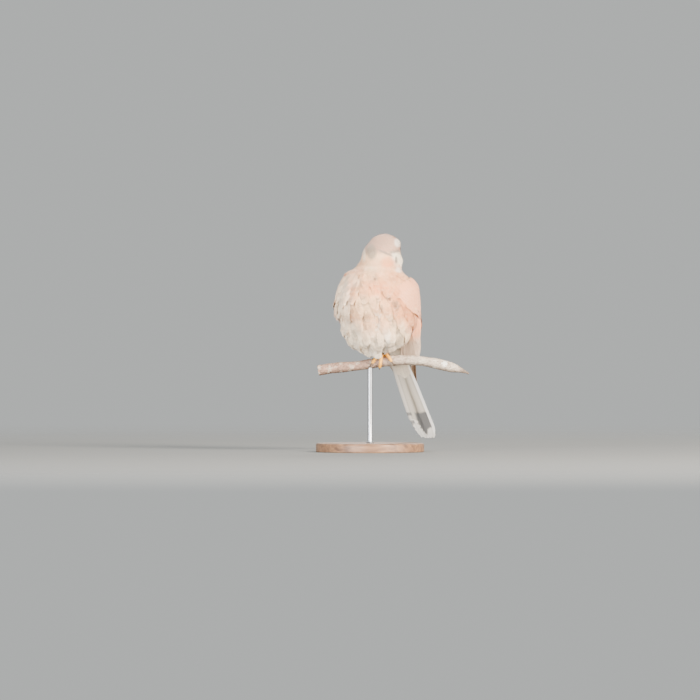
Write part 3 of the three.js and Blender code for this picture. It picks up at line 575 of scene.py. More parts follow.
# Soft ovals of colour on the side that the photograph shows: the colour, how much of it, and the oval's column,
# row, half width, half height and turn in degrees
PHOTO_PATCHES = [
    # The dark oval at column 371.5 is partly the head's own grey and partly painted shade on its shaded left
    # side.
    (WHITE, 0.65, (398, 242.3, 4.2, 5.6)), (DARK_MARK_AND_SHADE, 0.85, (371.5, 252, 6, 8.5)),
    # The cream sliver at column 364.2 is a painted rim of light at the head's left edge, and the thin dark grey
    # arc a painted shadow under the fold where the head's feathers meet the neck's.
    (CREAM, 0.6, (364.2, 254, 1.6, 8)), (DARK_GREY, 0.85, (385.5, 252.8, 9.5, 1.3, -24)),
    (SALMON, 0.7, (388, 262, 8.5, 6.2)), (SLATE, 0.75, (396, 259.6, 1.4, 4)),
    # The brightest cream on the cheek, on a streak of the breast and on the thigh is partly their own pale
    # colour and partly painted light.
    (PALE_AND_LIT, 0.95, (401.5, 261.5, 2.5, 5.5)), (WHITE, 0.6, (398.5, 269.5, 4.5, 3.4)),
    (PALE_AND_LIT, 0.45, (378.5, 321, 3, 15)), (PALE_AND_LIT, 0.55, (386.5, 343, 4, 16)),
    # The cream ovals on the camera's left are partly the plumage's own colour and partly painted cool shade,
    # and the salmon ones towards its right partly painted warm sunlight.
    (CREAM, 0.6, (351, 335, 13, 18)), (CREAM, 0.65, (342, 303, 10, 32)), (CREAM, 0.35, (352, 280, 9, 8)),
    (SALMON, 0.7, (402, 300, 15, 24)), (SALMON, 0.45, (370, 288, 12, 9)), (SALMON, 0.6, (412, 322, 9, 14)),
    (SALMON, 0.5, (384, 290, 9, 12)), (DARK_MARK_AND_SHADE, 0.25, (366, 318, 3, 12)), (DARK_MARK_AND_SHADE, 0.3, (392, 318, 3, 12)),
    (DARK_MARK_AND_SHADE, 0.2, (352, 300, 3, 10)), (DARK_MARK_AND_SHADE, 0.25, (399, 340, 4, 8)),
]
# Dark drops on the breast and belly that the photograph shows: column, row and strength
PHOTO_DROPS = [
    (374.5, 277, 0.6), (361.5, 297, 0.75), (361, 303, 0.6), (376, 299, 0.65), (387.5, 297.5, 0.65),
    (394.5, 302, 0.7), (397, 306, 0.7), (383, 306, 0.5), (391.5, 307, 0.6), (397.5, 331, 0.95),
    (391.5, 324, 0.4), (400, 338, 0.55), (377.5, 340, 0.5), (355, 332, 0.5), (360, 287, 0.5),
]


def photo_tint(colour, p, normal):
    """The light and dark places that the photograph shows on the side turned to it: partly the plumage's own
    marks, partly painted light and shade.
    """
    mottles = [(DARK_MARK_AND_SHADE, 0.9 * amount, (*place, 2, 3.4)) for *place, amount in PHOTO_DROPS]
    for paint, amount, place in PHOTO_PATCHES + mottles:
        colour = blend(colour, paint, column(photo_patch(p, normal, *place) * amount))
    return colour


def body_tint(p):
    """Salmon and cream in front, with streaks down it and a pale belly, and a rufous back over a grey rump."""
    left, back, z = in_body(p)
    around = np.degrees(np.arctan2(np.abs(left), -back))
    colour = blend(BUFF, SALMON, column(0.3 + 0.4 * ripple(p, 60, SEED + 4)))
    colour = blend(colour, BELLY, column(1 - ease(z, 145, 185)))
    streaks = ripple(p * np.array([1, 1, 0.24]), 14, SEED + 7)
    colour = colour * (1 + column(streaks) * np.array([0.1, 0.13, 0.16]))
    # The lowest belly's brightest cream is partly its own pale colour and partly painted light on the underside
    # that the lamps leave in shade.
    for paint, amount in ((CREAM, (1 - ease(z, 130, 165)) * 0.45), (PALE_AND_LIT, (1 - ease(z, 132, 152)) * 0.5),
                          (RUFOUS, ease(around, 100, 122) * ease(z, 150, 168)),
                          (GREY, ease(around, 120, 140) * (1 - ease(z, 158, 180)))):
        colour = blend(colour, paint, column(amount))
    return colour


def tint(p, normal):
    """The plumage's colour at a place, the same for the skin and for the coat over it, with painted light and
    shade on the side turned to the camera.
    """
    share = column(ease(p[..., 2], 242, 256))
    colour = blend(body_tint(p), head_tint(p), share)
    return np.clip(photo_tint(colour, p, normal), 0.01, 1)


def drop_strength(tips, normal):
    """How dark each feather's drop is: the photograph's own, sparse ones elsewhere, bold ones on the back."""
    strength = np.zeros(len(tips))
    for *place, amount in PHOTO_DROPS:
        x, z = photo_point(*place)
        far = np.hypot(tips[:, 0] - x, (tips[:, 2] - z) * 0.8) + 100 * (normal[:, 1] > 0.1)
        strength = np.maximum(strength, np.minimum(1.5 * amount * np.exp(-(far / 2.6) ** 2), 0.9))
    left, back, z = in_body(tips)
    around = np.degrees(np.arctan2(np.abs(left), -back))
    chance = np.random.default_rng(SEED + 5).uniform(size=len(tips))
    hidden = ease(normal[:, 1], -0.15, 0.2)
    sparse = (chance < 0.07 * hidden) & (around < 100) & (z < 240) & (z > 150)
    strength = np.where(sparse, 0.6, strength)
    bold = (chance < 0.16) & (around > 112) & (z > 165) & (z < 245)
    return np.where(bold, 0.9, strength)


# The share of the unwrap that a whole turn takes up, and the share for each millimetre of height
UNWRAP_WIDE, UNWRAP_HIGH = 0.98, 0.0052


def unwrap(p):
    """A place's spot on the skin's unwrap: round the body, and up it."""
    trunk = stations_at(TRUNK, p[:, 2])
    share = column(ease(p[:, 2], NECK_FOOT, HEAD_FOOT))
    middle = blend(body_point(0, -trunk[:, 0], p[:, 2]), head_point(0, 0, p[:, 2]), share)
    out = p - middle
    angle = np.arctan2(out[:, 0], -out[:, 1]) / math.tau % 1
    return np.stack([0.01 + UNWRAP_WIDE * angle, 0.02 + (p[:, 2] - 120) * UNWRAP_HIGH], 1)


def clumps(p):
    """How far the fluffed coat stands out in wide soft folds."""
    stretched = p * np.array([1, 1, 0.3])
    folds = 0.7 * ripple(stretched, 34, SEED + 3) + 0.35 * ripple(stretched, 17, SEED + 6)
    return 1.1 * folds * (1 - ease(p[..., 2], 225, 250)) - 0.6


# How strongly the folds' slopes tell in the coat's shading
FOLD_SHADE = 3.2


def fold_normal(p, normal):
    """The coat's outward way with its folds' slopes."""
    across = unit(np.cross(normal, UP) + 1e-6)
    tilt = 0
    for way in (across, np.cross(normal, across)):
        slope = (clumps(p + way * 1.5) - clumps(p - way * 1.5)) / 3
        tilt = tilt + way * slope[..., None]
    return unit(normal - tilt * FOLD_SHADE)


# A lock's half width, how far one steps out over the next, and how much longer than wide it reaches
LOCK_HALF, LOCK_STEP, LOCK_STRETCH = 4.6, 2.3, 0.22


class Locks:
    """The long pointed bunches that the loose feathers gather in: where each ends, and each one's tone."""

    def __init__(self):
        self.tips = coat.scatter(lambda p: blend(16.5, 9.5, ease(p[:, 2], 200, 235)), lambda p: p[:, 2] < 250,
                                 SEED + 8)
        self.tone = np.random.default_rng(SEED + 9).normal(0, 0.035, len(self.tips))

    def near(self, ends, way, across, normal):
        """How far each feather's end is beside its lock's middle and past its tip, and the lock's tone."""
        aside, past, tone = np.empty(len(ends)), np.empty(len(ends)), np.empty(len(ends))
        for n, end in enumerate(ends):
            off = end - self.tips
            a, b, c = off @ across[n], off @ way[n], off @ normal[n]
            k = (a**2 + (LOCK_STRETCH * b) ** 2 + c**2).argmin()
            aside[n], past[n], tone[n] = a[k], b[k], self.tone[k]
        return aside, past, tone


locks = Locks()


# How far a feather's heading strays from its neighbours'
STRAY = math.radians(7)


def walk(roots, normals, length, stations, draw):
    """Places and outward ways of feathers laid along the coat from their roots."""
    angle = column(draw.normal(0, STRAY, len(roots)))
    way = lie(roots, normals)
    way = along_surface(way * np.cos(angle) + np.cross(normals, way) * np.sin(angle), normals)
    places, outs, ways = [roots], [normals], [way]
    step = (length / (stations - 1))[:, None]
    for _ in range(stations - 1):
        place, normal = coat.nearest(places[-1] + ways[-1] * step)
        places.append(place)
        outs.append(normal)
        ways.append(along_surface(ways[-1] * 0.75 + lie(place, normal) * 0.25, normal))
    return np.stack(places, 1), np.stack(outs, 1)


def grow(name, roots, normals, length, half, stations, lift, material, slot, seed, thick, slope, dark, hairs):
    """A piece of the coat: a feather from each root, lying over the next like shingles, and its loose barbs."""
    draw = np.random.default_rng(seed)
    count = len(roots)
    place, normal = walk(roots, normals, length, stations, draw)
    t = np.linspace(0, 1, stations)[None, :]
    loose = (1 - ease(place[:, -1, 2], 226, 246))[:, None]
    onward = unit(place[:, -1] - place[:, -2])
    beside = unit(np.cross(onward, normal[:, -1]))
    aside, past, tone = (v[:, None] for v in locks.near(place[:, -1], onward, beside, normal[:, -1]))
    aside = np.clip(aside / LOCK_HALF, -1.3, 1.3) * loose
    ragged = 1 + 0.7 * ease(-place[:, -1, :1], 0, 35)
    shingle = LOCK_STEP * ragged * (ease(past, -13, 9) - 0.55) * loose - 0.5 * aside**2
    place = place - beside[:, None] * (0.45 * LOCK_HALF * aside * ease(t, 0.2, 1))[..., None]
    height = (-(coat_depth(place) - slope) * (1 - ease(t, 0, 0.36)) - slope * (1 - t)
              + (clumps(place) + shingle) * ease(t, 0, 0.45) + lift[:, None] * ease(t, 0.35, 1) ** 1.5
              + draw.normal(0, 0.07, (count, 1)) - eye_hollow(place))
    centre = place + normal * height[..., None]
    flow = unit(np.gradient(centre, axis=1))
    shade = unit(fold_normal(place, normal) + beside[:, None] * (0.5 * aside)[..., None])
    across = unit(np.cross(flow, normal))
    up = np.cross(across, flow)
    roll = draw.normal(0, 0.05, (count, 1, 1))
    across, up = across * np.cos(roll) + up * np.sin(roll), up * np.cos(roll) - across * np.sin(roll)
    notch = draw.uniform(0.55, 0.95, (count, stations, 2))
    notch[:, ::2, 0] = 1
    notch[:, 1::2, 1] = 1
    notch = 1 - (1 - notch) * ease(t, 0.2, 0.6)[..., None]
    width = half[:, None] * contour_profile(t)
    both = width[..., None] * notch * (1 + draw.normal(0, 0.03, (count, stations, 2)))
    colours = tint(centre, normal)
    own = 1 + draw.normal(0, 0.03, (count, 1, 1)) + (tone * loose)[..., None]
    # Painted shade: each feather is darker towards its lock's edges and where the lock before it lies over it.
    own = own * (1 - (0.07 * aside**2 + 0.1 * (1 - ease(past, -13, -2)) * loose))[..., None]
    warm = 1 + draw.normal(0, 0.015, (count, 1, 1)) * np.array([1, 0, -1])
    colours = np.clip(colours * own * warm, 0, 1)
    # Each feather's marks: how dark its drop is, and a number of its own
    marks = np.stack([dark, draw.uniform(size=count), 0 * dark], 1)
    piece = feather_mesh(name, centre, across, up, both, thick, SMALL_SECTION, 0.05, 0.45, unwrap(roots),
                         colours, marks, shade)
    finish_piece(piece, material)
    barbs(name.replace("coat", "barbs"), centre, across, up, shade, width, colours, dark, roots, material, slot,
          draw, hairs)


# A loose barb's section, three-sided
BARB_SECTION = [(-1, -0.5), (0, 1), (1, -0.5)]


def barbs(name, centre, across, up, normal, width, colours, dark, roots, material, slot, draw, hairs):
    """Loose barbs that fan out from the middle of each feather past its rim, and soften it."""
    each, longest, thick = hairs
    count, stations = centre.shape[:2]
    feather = np.repeat(np.arange(count), each)
    number = len(feather)
    order = np.tile(np.arange(each), count)
    side = ((order + draw.uniform(0.1, 0.9, number)) / each * 2 - 1)
    share = blend(0.5, 0.84, (1 - np.abs(side)) ** 0.7) + draw.normal(0, 0.05, number)
    at = np.clip((share * (stations - 1)).astype(int), 1, stations - 2)
    flow = unit(np.gradient(centre, axis=1))[feather, at]
    sideways, out, surface = across[feather, at], up[feather, at], normal[feather, at]
    wide = width[feather, at]
    root = centre[feather, at] + sideways * (side * wide * 0.45)[:, None] + out * (thick * 1.2)
    fan = side * 0.62 + draw.normal(0, 0.1, number)
    way = unit(flow * np.cos(fan)[:, None] + sideways * np.sin(fan)[:, None])
    length = longest * draw.uniform(0.6, 1.1, number)[:, None]
    rise = (longest * draw.uniform(0.0, 0.1, number))[:, None]
    t = np.array([0, 0.55, 1.0])[None, :, None]
    curl = draw.normal(0, 0.08, (number, 1, 1)) - side[:, None, None] * 0.12
    line = (root[:, None] + way[:, None] * (t * length[:, None]) + out[:, None] * (rise[:, None] * t**1.6)
            + sideways[:, None] * (t**2 * curl * length[:, None]))
    size = thick * np.array([0.9, 0.85, 0.12])[None, :, None] * np.ones((number, 1, 2))
    over = np.broadcast_to(sideways[:, None], line.shape)
    above = np.cross(over, unit(np.gradient(line, axis=1)))
    shade = colours[feather, at][:, None] * np.ones((1, 3, 1)) * draw.uniform(0.94, 1.08, (number, 1, 1))
    drop = (dark[feather] * (1 - ease(np.abs(side), 0.35, 0.75)))[:, None, None] * (1 - t * 0.85)
    shade = blend(shade, INK, np.clip(drop, 0, 1))
    piece = feather_mesh(name, line, over, above, size, size[..., 0] * 0.6, BARB_SECTION, 0, 0,
                         unwrap(roots)[feather], np.clip(shade, 0, 1), np.zeros((number, 3)),
                         np.repeat(surface[:, None], 3, axis=1))
    finish_piece(piece, material)


def flank_curtain(material):
    """The long loose feathers that hang from each flank over the front edge of the folded wing."""
    draw = np.random.default_rng(SEED + 90)
    for side, name in ((1, "left"), (-1, "right")):
        lines = [(inwards + draw.normal(0, 0.7), 186 - 8 * layer + draw.normal(0, 1.5), layer)
                 for layer in range(5) for inwards in np.linspace(0.5, 18, 12)]
        inwards, height, layer = (np.array(v)[:, None] for v in zip(*lines))
        count, stations = len(lines), 10
        t = np.linspace(0, 1, stations)[None, :]
        length = draw.uniform(30, 36, (count, 1))
        z = np.maximum(height - length * t, 131.5 - 0.4 * inwards)
        edge_left, edge_back, edge_height = np.array(LEADING_EDGE)[::-1].T
        left = np.interp(z, edge_height, edge_left) - inwards - 1.5 - 2 * ease(z, 174, 160)
        back = np.interp(z, edge_height, edge_back) - 3.5 - 0.3 * inwards - 0.8 * layer * (1 - t)
        centre = body_point(side * left, back, z - 0.15 * length * t)
        out = np.broadcast_to(unit(side * 0.7 * LEFT - 0.8 * BACK), centre.shape)
        flow = unit(np.gradient(centre, axis=1))
        across = unit(np.cross(flow, out))
        up = np.cross(across, flow)
        width = draw.uniform(3.8, 5.2, (count, 1)) * contour_profile(t, 0.5, 0.5)
        low = ease(z, 166, 148)[..., None]
        colours = blend(PALE_RUFOUS, FLANK, low) * (1 + draw.normal(0, 0.05, (count, 1, 1)))
        dark = 0.5 * (draw.uniform(size=count) < 0.15)
        marks = np.stack([dark, 0 * dark, 0 * dark], 1)
        colours = np.clip(colours, 0, 1)
        piece = feather_mesh(f"flank_{name}", centre, across, up, column(width) * np.ones(2), 0.1,
                             SMALL_SECTION, 0.12, 0.45, unwrap(centre[:, 0]), colours, marks, out)
        finish_piece(piece, material)
        barbs(f"flank_barbs_{name}", centre, across, up, out, width, colours, dark, centre[:, 0], material,
              "plumage_body", draw, (26, 5.0, 0.13))


# Materials

def add_node(tree, kind, values=(), out=0, **settings):
    """A node with its settings, and its inputs set or linked, by order or by name. Gives one of its outputs."""
    node = tree.nodes.new("ShaderNode" + kind)
    for key, value in settings.items():
        setattr(node, key, value)
    for key, value in values.items() if isinstance(values, dict) else enumerate(values):
        if isinstance(value, bpy.types.NodeSocket):
            tree.links.new(value, node.inputs[key])
        else:
            node.inputs[key].default_value = value
    return node.outputs[out] if node.outputs else None


def new_material(name):
    """An empty material, and the way to add nodes to it."""
    material = bpy.data.materials.new(name)
    material.use_nodes = True
    material.node_tree.nodes.clear()
    return material, partial(add_node, material.node_tree)


# How a Mix node lays its second colour over the first, by its share
OVER = {"data_type": "RGBA"}
TIMES = {"data_type": "RGBA", "blend_type": "MULTIPLY"}
# The bare skin's darkening: painted shade in the gaps between the feathers
PAINTED_SKIN_SHADE = (0.82, 0.82, 0.82, 1)

# Barbs along a feather, and how far they slant. On a body feather of 20 mm they are 0.35 mm apart, as real ones
# are. On a quill real ones are 0.3 mm apart, too fine to show, and these are drawn about 1 mm apart.
CONTOUR_BARBS, CONTOUR_SLANT = 58, 34
QUILL_BARBS, QUILL_SLANT = 150, 26


def surface(add, finish, relief=None, strength=0.3, depth=0.2):
    """The material's shader, with its finish by name and a relief of a depth in millimetres."""
    if relief:
        finish["Normal"] = add("Bump", {"Strength": strength, "Distance": depth * MM, "Height": relief})
    shader = add("BsdfPrincipled", finish)
    add("OutputMaterial", [shader])


def painted(add, name="tint", part=None):
    """A colour painted on the points, or one part of it."""
    colour = add("Attribute", attribute_name=name)
    return colour if part is None else add("SeparateColor", [colour], part)


def vane_places(add, barbs, slant):
    """Places across and along a feather and away from its shaft, and its barbs as fine slanting lines."""
    vane = add("UVMap", uv_map="Vane")
    across, along = add("SeparateXYZ", [vane]), add("SeparateXYZ", [vane], 1)
    off = add("Math", [add("Math", [across, 0.5], operation="SUBTRACT")], operation="ABSOLUTE")
    lengthwise = add("Math", [along, barbs * math.tau], operation="MULTIPLY")
    phase = add("Math", [off, -slant * math.tau, lengthwise], operation="MULTIPLY_ADD")
    wave = add("Math", [phase], operation="SINE")
    return across, along, off, add("Math", [wave, 0.5, 0.5], operation="MULTIPLY_ADD")


def feather_material(name, drop_wide=0.3, drop_high=0.16, shaft=0.18, barb_depth=0.12, rim=0.15):
    """Barbed vanes, loose and dry: they give a soft matt coat with a faint sheen, fine slanting lines, a darker
    shaft, a paler rim, and a dark drop near the tip where one is painted."""
    material, add = new_material(name)
    own = painted(add)
    strength = painted(add, "mark", 0)
    _, along, off, barb = vane_places(add, CONTOUR_BARBS, CONTOUR_SLANT)
    barb_light = add("MapRange", [barb, 0, 1, 1 - barb_depth, 1])
    shaft_light = add("MapRange", [off, 0.02, 0.05, 1 - shaft, 1])
    colour = add("Mix", {0: 1, 6: own, 7: barb_light}, 2, **TIMES)
    colour = add("Mix", {0: 1, 6: colour, 7: shaft_light}, 2, **TIMES)
    edge = add("MapRange", [along, 0.72, 1, 0, rim])
    colour = add("Mix", {0: edge, 6: colour, 7: rgba("#f2e6d4")}, 2, **OVER)
    beside = add("Math", [off, drop_wide], operation="DIVIDE")
    beyond = add("Math", [add("Math", [along, 0.74], operation="SUBTRACT"), drop_high], operation="DIVIDE")
    squared = add("Math", [beside, beside], operation="MULTIPLY")
    spread = add("Math", [beyond, beyond, squared], operation="MULTIPLY_ADD")
    drop = add("MapRange", [spread, 0.75, 1.15, 1, 0])
    drop = add("Math", [drop, strength], operation="MULTIPLY")
    colour = add("Mix", {0: drop, 6: colour, 7: (*INK, 1)}, 2, **OVER)
    surface(add, {"Base Color": colour, "Roughness": 0.8, "Specular IOR Level": 0.25, "Sheen Weight": 0.25,
                  "Sheen Roughness": 0.5}, barb, 0.25)
    return material


def grained_material(name, roughness, scale, depth, specular=0.5, grain=0.12, varnish=0):
    """A solid surface in its own painted colours, with fine grain and relief."""
    material, add = new_material(name)
    noise = add("TexNoise", {"Vector": add("TexCoord", out="Object"), "Scale": scale, "Detail": 6})
    shade = add("MapRange", [noise, 0.3, 0.7, 1 - grain, 1 + grain])
    colour = add("Mix", {0: 1, 6: painted(add), 7: shade}, 2, **TIMES)
    surface(add, {"Base Color": colour, "Roughness": roughness, "Specular IOR Level": specular,
                  "Coat Weight": varnish}, noise, 0.6, depth)
    return material


# Skin: one closed form under the whole coat

def make_skin(material):
    """The skin, with a fold round each eye, sunk by the coat's depth and painted as the coat is."""
    heights = np.r_[np.linspace(127.2, 150, 12), np.linspace(152, 250, 46), np.linspace(252, 286, 18),
                    288, 289.6, 290.7]
    skin = extruded("skin", bulged(outline(heights, 72), heights))
    places = points_of(skin)
    normals = points_of(skin, "normal")
    for centre, way in EYES.values():
        out = places - centre
        along = column(out @ way)
        far = column(np.linalg.norm(out - along * way, axis=1))
        places = places + way * 0.9 * np.exp(-((far - 6.6) / 1.3) ** 2) * (along > 0)
    colours = tint(places, normals)
    set_points(skin, places - normals * coat_depth(places)[:, None])
    tint_points(skin, colours)
    drops = np.zeros(len(places))
    for *place, amount in PHOTO_DROPS:
        x, z = photo_point(*place)
        near = (np.hypot(places[:, 0] - x, places[:, 2] - z) < 2.6) & (normals[:, 1] < 0)
        drops[near] = amount
    tint_points(skin, column(drops) * np.array([1, 0, 0]), "mark")
    skin.modifiers.new("triangles", "TRIANGULATE")
    select_none()
    bpy.context.view_layer.objects.active = skin
    skin.select_set(True)
    bpy.ops.object.modifier_apply(modifier="triangles")
    set_map(skin.data, "OFBake", unwrap(points_of(skin)))
    return finish_piece(skin, material, ["torso", "neck", "head"])


def skin_material():
    """Bare skin under the feathers: dry and matt, in the coat's own colours but darker, painted shade so that
    gaps between feathers read as depth. Its pores are about 1 mm apart."""
    material, add = new_material("bird skin, matt")
    colour = add("Mix", {0: painted(add, "mark", 0), 6: painted(add), 7: (*INK, 1)}, 2, **OVER)
    colour = add("Mix", {0: 1, 6: colour, 7: PAINTED_SKIN_SHADE}, 2, **TIMES)
    noise = add("TexNoise", {"Vector": add("TexCoord", out="Object"), "Scale": 900, "Detail": 4})
    surface(add, {"Base Color": colour, "Roughness": 0.85}, noise, 0.5, 0.3)
    return material


# Coat

def clear_of_face(p):
    """Whether a place has feathers: not on the bill's root and not on the eyes and their rings."""
    forward, left, z = in_head(p)
    off_bill = (np.hypot(left / 5.3, (z - 264.4) / 6.6) > 1) | (forward < 10)
    return off_bill & (near_eye(p) > 6.5)


def clear_of_toes(p):
    """The lowest feathers part over the standing foot."""
    return ~((np.abs(p[:, 0] - FOOT_X) < 5) & (p[:, 2] < 137) & (p[:, 1] < 6))


def coat_spacing(p):
    """How far apart the feathers stand: wide on the body, and closer towards the bill and the eyes."""
    z = p[..., 2]
    body = blend(2.9, 2.4, ease(z, 205, 228))
    head = 0.78 + 0.5 * ease(near_bill(p), 8, 26) * ease(near_eye(p), 7, 14)
    return blend(body, head, ease(z, 226, 258))


def short_of_eyes(roots, normals, length):
    """Feathers that grow towards an eye end at its ring."""
    way = lie(roots, normals)
    for centre, _ in EYES.values():
        gap = np.linalg.norm(roots - centre, axis=1)
        towards = ((centre - roots) * way).sum(1) / gap > 0.3
        length = np.where(towards, np.minimum(length, np.maximum(gap - 5.9, 0.9)), length)
    return length


def eye_hollow(p):
    """How far the feathers before an eye draw in, so that its ring shows, and those behind it stand out."""
    forward, _, _ = in_head(p)
    around = 1 - ease(near_eye(p), 6.6, 10.5)
    before = 1.5 * ease(forward, EYE_FORWARD - 1, EYE_FORWARD + 3)
    behind = 0.6 * (1 - ease(forward, EYE_FORWARD - 4, EYE_FORWARD))
    return around * (before - behind)


def make_coat(material):
    """Body feathers all over the skin, in pieces small enough to keep whole."""
    roots = coat.scatter(coat_spacing, clear_of_face, SEED)
    roots = roots[clear_of_face(roots) & clear_of_toes(roots)]
    roots, normals = coat.nearest(roots)
    draw = np.random.default_rng(SEED + 1)
    z = roots[:, 2]
    head = ease(z, 228, 262)
    near = ease(near_bill(roots), 6, 26) * ease(near_eye(roots), 6, 12)
    length = blend(20.0, blend(2.4, 7.5, near), head) * draw.uniform(0.85, 1.15, len(roots))
    length = length * blend(1.0, 0.7, 1 - ease(z, 128, 142))
    length = short_of_eyes(roots, normals, length)
    half = blend(4.0, blend(0.55, 1.05, near), ease(z, 226, 258)) * draw.uniform(0.85, 1.12, len(roots))
    lift = blend(0.35, 0.12, head) * draw.uniform(0, 1, len(roots)) ** 2
    lift = lift + ruffle(roots) * draw.uniform(0, 1, len(roots)) ** 2
    slope = blend(1.1, blend(0.25, 0.5, near), head)
    dark = drop_strength(roots + lie(roots, normals) * length[:, None] * 0.74, normals)
    left = roots[:, 0] < BODY_X
    parts = []
    for part, low, high in (("belly", 0, 168), ("breast", 168, 206), ("chest", 206, 244)):
        layer = (z >= low) & (z < high)
        parts += [(f"coat_{part}_left", layer & left), (f"coat_{part}_right", layer & ~left)]
    parts += [("coat_neck", (z >= 244) & (z < 262)), ("coat_head", z >= 262)]
    # How many loose barbs a feather has, how long the longest is and how thick they are
    body_hairs, neck_hairs, head_hairs = (13, 5.2, 0.13), (6, 3.4, 0.09), (3, 2.4, 0.065)
    for n, (name, chosen) in enumerate(parts):
        body = n < 6
        hairs = body_hairs if body else neck_hairs if n == 6 else head_hairs
        grow(name, roots[chosen], normals[chosen], length[chosen], half[chosen], 9 if body else 7, lift[chosen],
             material, "plumage_body" if n < 7 else "plumage_head", SEED + 20 + n,
             0.09 if body else 0.06, slope[chosen][:, None], dark[chosen], hairs)


# Loose tips that stand out on the camera's left of the photograph: column and row
LOOSE_TIPS = [(331.5, 314), (338.5, 330), (350.5, 347), (371, 357), (362, 353.5)]


def ruffle(roots):
    """How far the tips of loose feathers stand out."""
    amount = 0.6 * ease(-roots[:, 0] + 12 * ripple(roots, 30, 5), 10, 40) * (1 - ease(roots[:, 2], 225, 245))
    for place in LOOSE_TIPS:
        x, z = photo_point(*place)
        far = np.hypot((roots[:, 0] - x - 6) / 9, (roots[:, 2] - z - 13) / 7)
        amount = amount + 4.2 * (1 - ease(far, 0.3, 1))
    return amount


# Wings

def shifted(line, side):
    """The leading edge, drawn in where the coat hides the right wing, and behind the tail on the left one."""
    moved = np.array(line, float)
    if side < 0:
        near = np.clip(1 - np.arange(len(moved)) / 5, 0, 1)
        moved[:, 0] -= 6 * near
        moved[:, 1] += 10 * near
    else:
        moved[5:8, 0] -= 2.5
        moved[-3:] += [[-9, -4, 2], [-15, -7, 0], [-14, -12, 4]]
    return body_point(side * moved[:, 0], moved[:, 1], moved[:, 2])


# The folded left wing's edges and middle, from the shoulder to the tip: left, back and height
LEADING_EDGE = [
    [46, -24, 223], [51, -26, 206], [54.5, -20, 198], [57, -9, 189], [57, 5, 184], [54, 22, 176], [47, 35, 163],
    [40.5, 46, 150], [28, 69, 120], [15, 92, 90], [7, 117, 51],
]
MIDDLE_LINE = [
    [51, -1, 231], [56, 8, 217.5], [50, 24, 200], [40.5, 38.5, 184], [34, 50, 167], [26, 60, 150],
    [18, 72, 127], [11, 88, 101], [7, 104, 76], [5, 117.5, 51.5],
]
INNER_EDGE = [
    [32, 31, 232], [28, 38.5, 222], [22, 45, 207], [16, 50, 190], [11, 53, 173], [8, 61, 155],
    [6, 75, 133], [4.5, 90, 108], [3.5, 104, 82], [3, 118, 52],
]


class WingSheet:
    """The curved sheet that a folded wing's feathers lie on, between its leading and its inner edge."""

    def __init__(self, side):
        self.side = side
        self.count = 400
        edge = shifted(LEADING_EDGE, side)
        over = np.array([[0, 0, 0]] * 7 + [[-4, 0, 0], [-8, 0, 0], [-9.5, 0, 0]]) * (side > 0)
        middle, inner = (body_point(side * line[:, 0], line[:, 1], line[:, 2])
                         for line in (np.array(MIDDLE_LINE) + over, np.array(INNER_EDGE) + over))
        self.lines = [smooth_line(line, self.count + 1) for line in (edge, middle, inner)]

    def bare(self, along, across):
        at = np.clip(along, 0, 1) * self.count
        i = np.clip(at.astype(int), 0, self.count - 1)
        share = column(at - i)
        edge, middle, inner = (blend(line[i], line[i + 1], share) for line in self.lines)
        v = column(across)
        return edge * (1 - v) * (1 - 2 * v) + middle * 4 * v * (1 - v) + inner * v * (2 * v - 1)

    def crosswise(self, along, across):
        return self.bare(along, across + 0.02) - self.bare(along, across - 0.02)

    def outward(self, along, across):
        s = np.clip(along, 0.02, 0.98)
        lengthwise = self.bare(s + 0.02, across) - self.bare(s - 0.02, across)
        return unit(np.cross(self.crosswise(s, across), lengthwise)) * -self.side


def row(count, **shape):
    """A row of like feathers: each shape value is a start and end over the row, or a function of the share."""
    share = np.linspace(0, 1, count)
    values = {}
    for key, value in shape.items():
        if callable(value):
            values[key] = value(share)
        else:
            first, last = value if isinstance(value, tuple) else (value, value)
            values[key] = blend(first, last, share)
    return values


def wing_rows():
    """The rows of a wing, deepest first: shares along and across the sheet, and heights over it in millimetres.

    A feather runs from its root, from_along and from_across, to its tip, along and across. It lies low at its
    root and high at its tip and is tilted by some degrees. Its inner and outer vane have their own shares of
    its width.
    """
    return {
        "primaries": row(9, from_along=0.33, from_across=(0.16, 0.68), along=lambda s: 1 - 0.175 * s**1.25,
                         across=(0.25, 0.66), half=(5.0, 6.0), low=-6.2, middle=(-3.6, -1.6), high=(-1.4, 3.2),
                         tilt=4, inner=1.35, outer=0.65, point=0.5),
        "secondaries": row(10, from_along=0.26, from_across=(0.16, 0.8), along=(0.645, 0.575),
                           across=(0.18, 0.8), half=5.8, low=-3.8, middle=-1.4, high=(-1.2, 0.2), tilt=9,
                           inner=1.2, outer=0.8),
        "tertials": row(4, from_along=0.2, from_across=(0.74, 0.95), along=(0.58, 0.49), across=(0.8, 0.98),
                        half=6.4, low=-2.6, middle=0.6, high=(0.8, 1.6), tilt=9, inner=1, outer=1),
        "greater_coverts": row(12, from_along=0.14, from_across=(0.06, 0.94),
                               along=lambda s: 0.375 + 0.035 * np.sin(s * math.pi), across=(0.06, 0.96),
                               half=4.5, low=-1.2, middle=0.6, high=0.8, tilt=9, inner=1.1, outer=0.9),
        "median_coverts": row(14, from_along=0.07, from_across=(0.05, 0.95),
                              along=lambda s: 0.265 + 0.03 * np.sin(s * math.pi), across=(0.05, 0.97), half=4.0,
                              low=-0.8, middle=0.9, high=1.3, tilt=8, inner=1, outer=1),
        "primary_coverts": row(7, from_along=0.2, from_across=(0.03, 0.3), along=(0.44, 0.4),
                               across=(0.04, 0.34), half=3.0, low=-1.0, middle=0.5, high=0.6, tilt=6, inner=1.1,
                               outer=0.9),
    }


# Stations along a long feather and along a covert
QUILL_STATIONS, COVERT_STATIONS = 26, 15


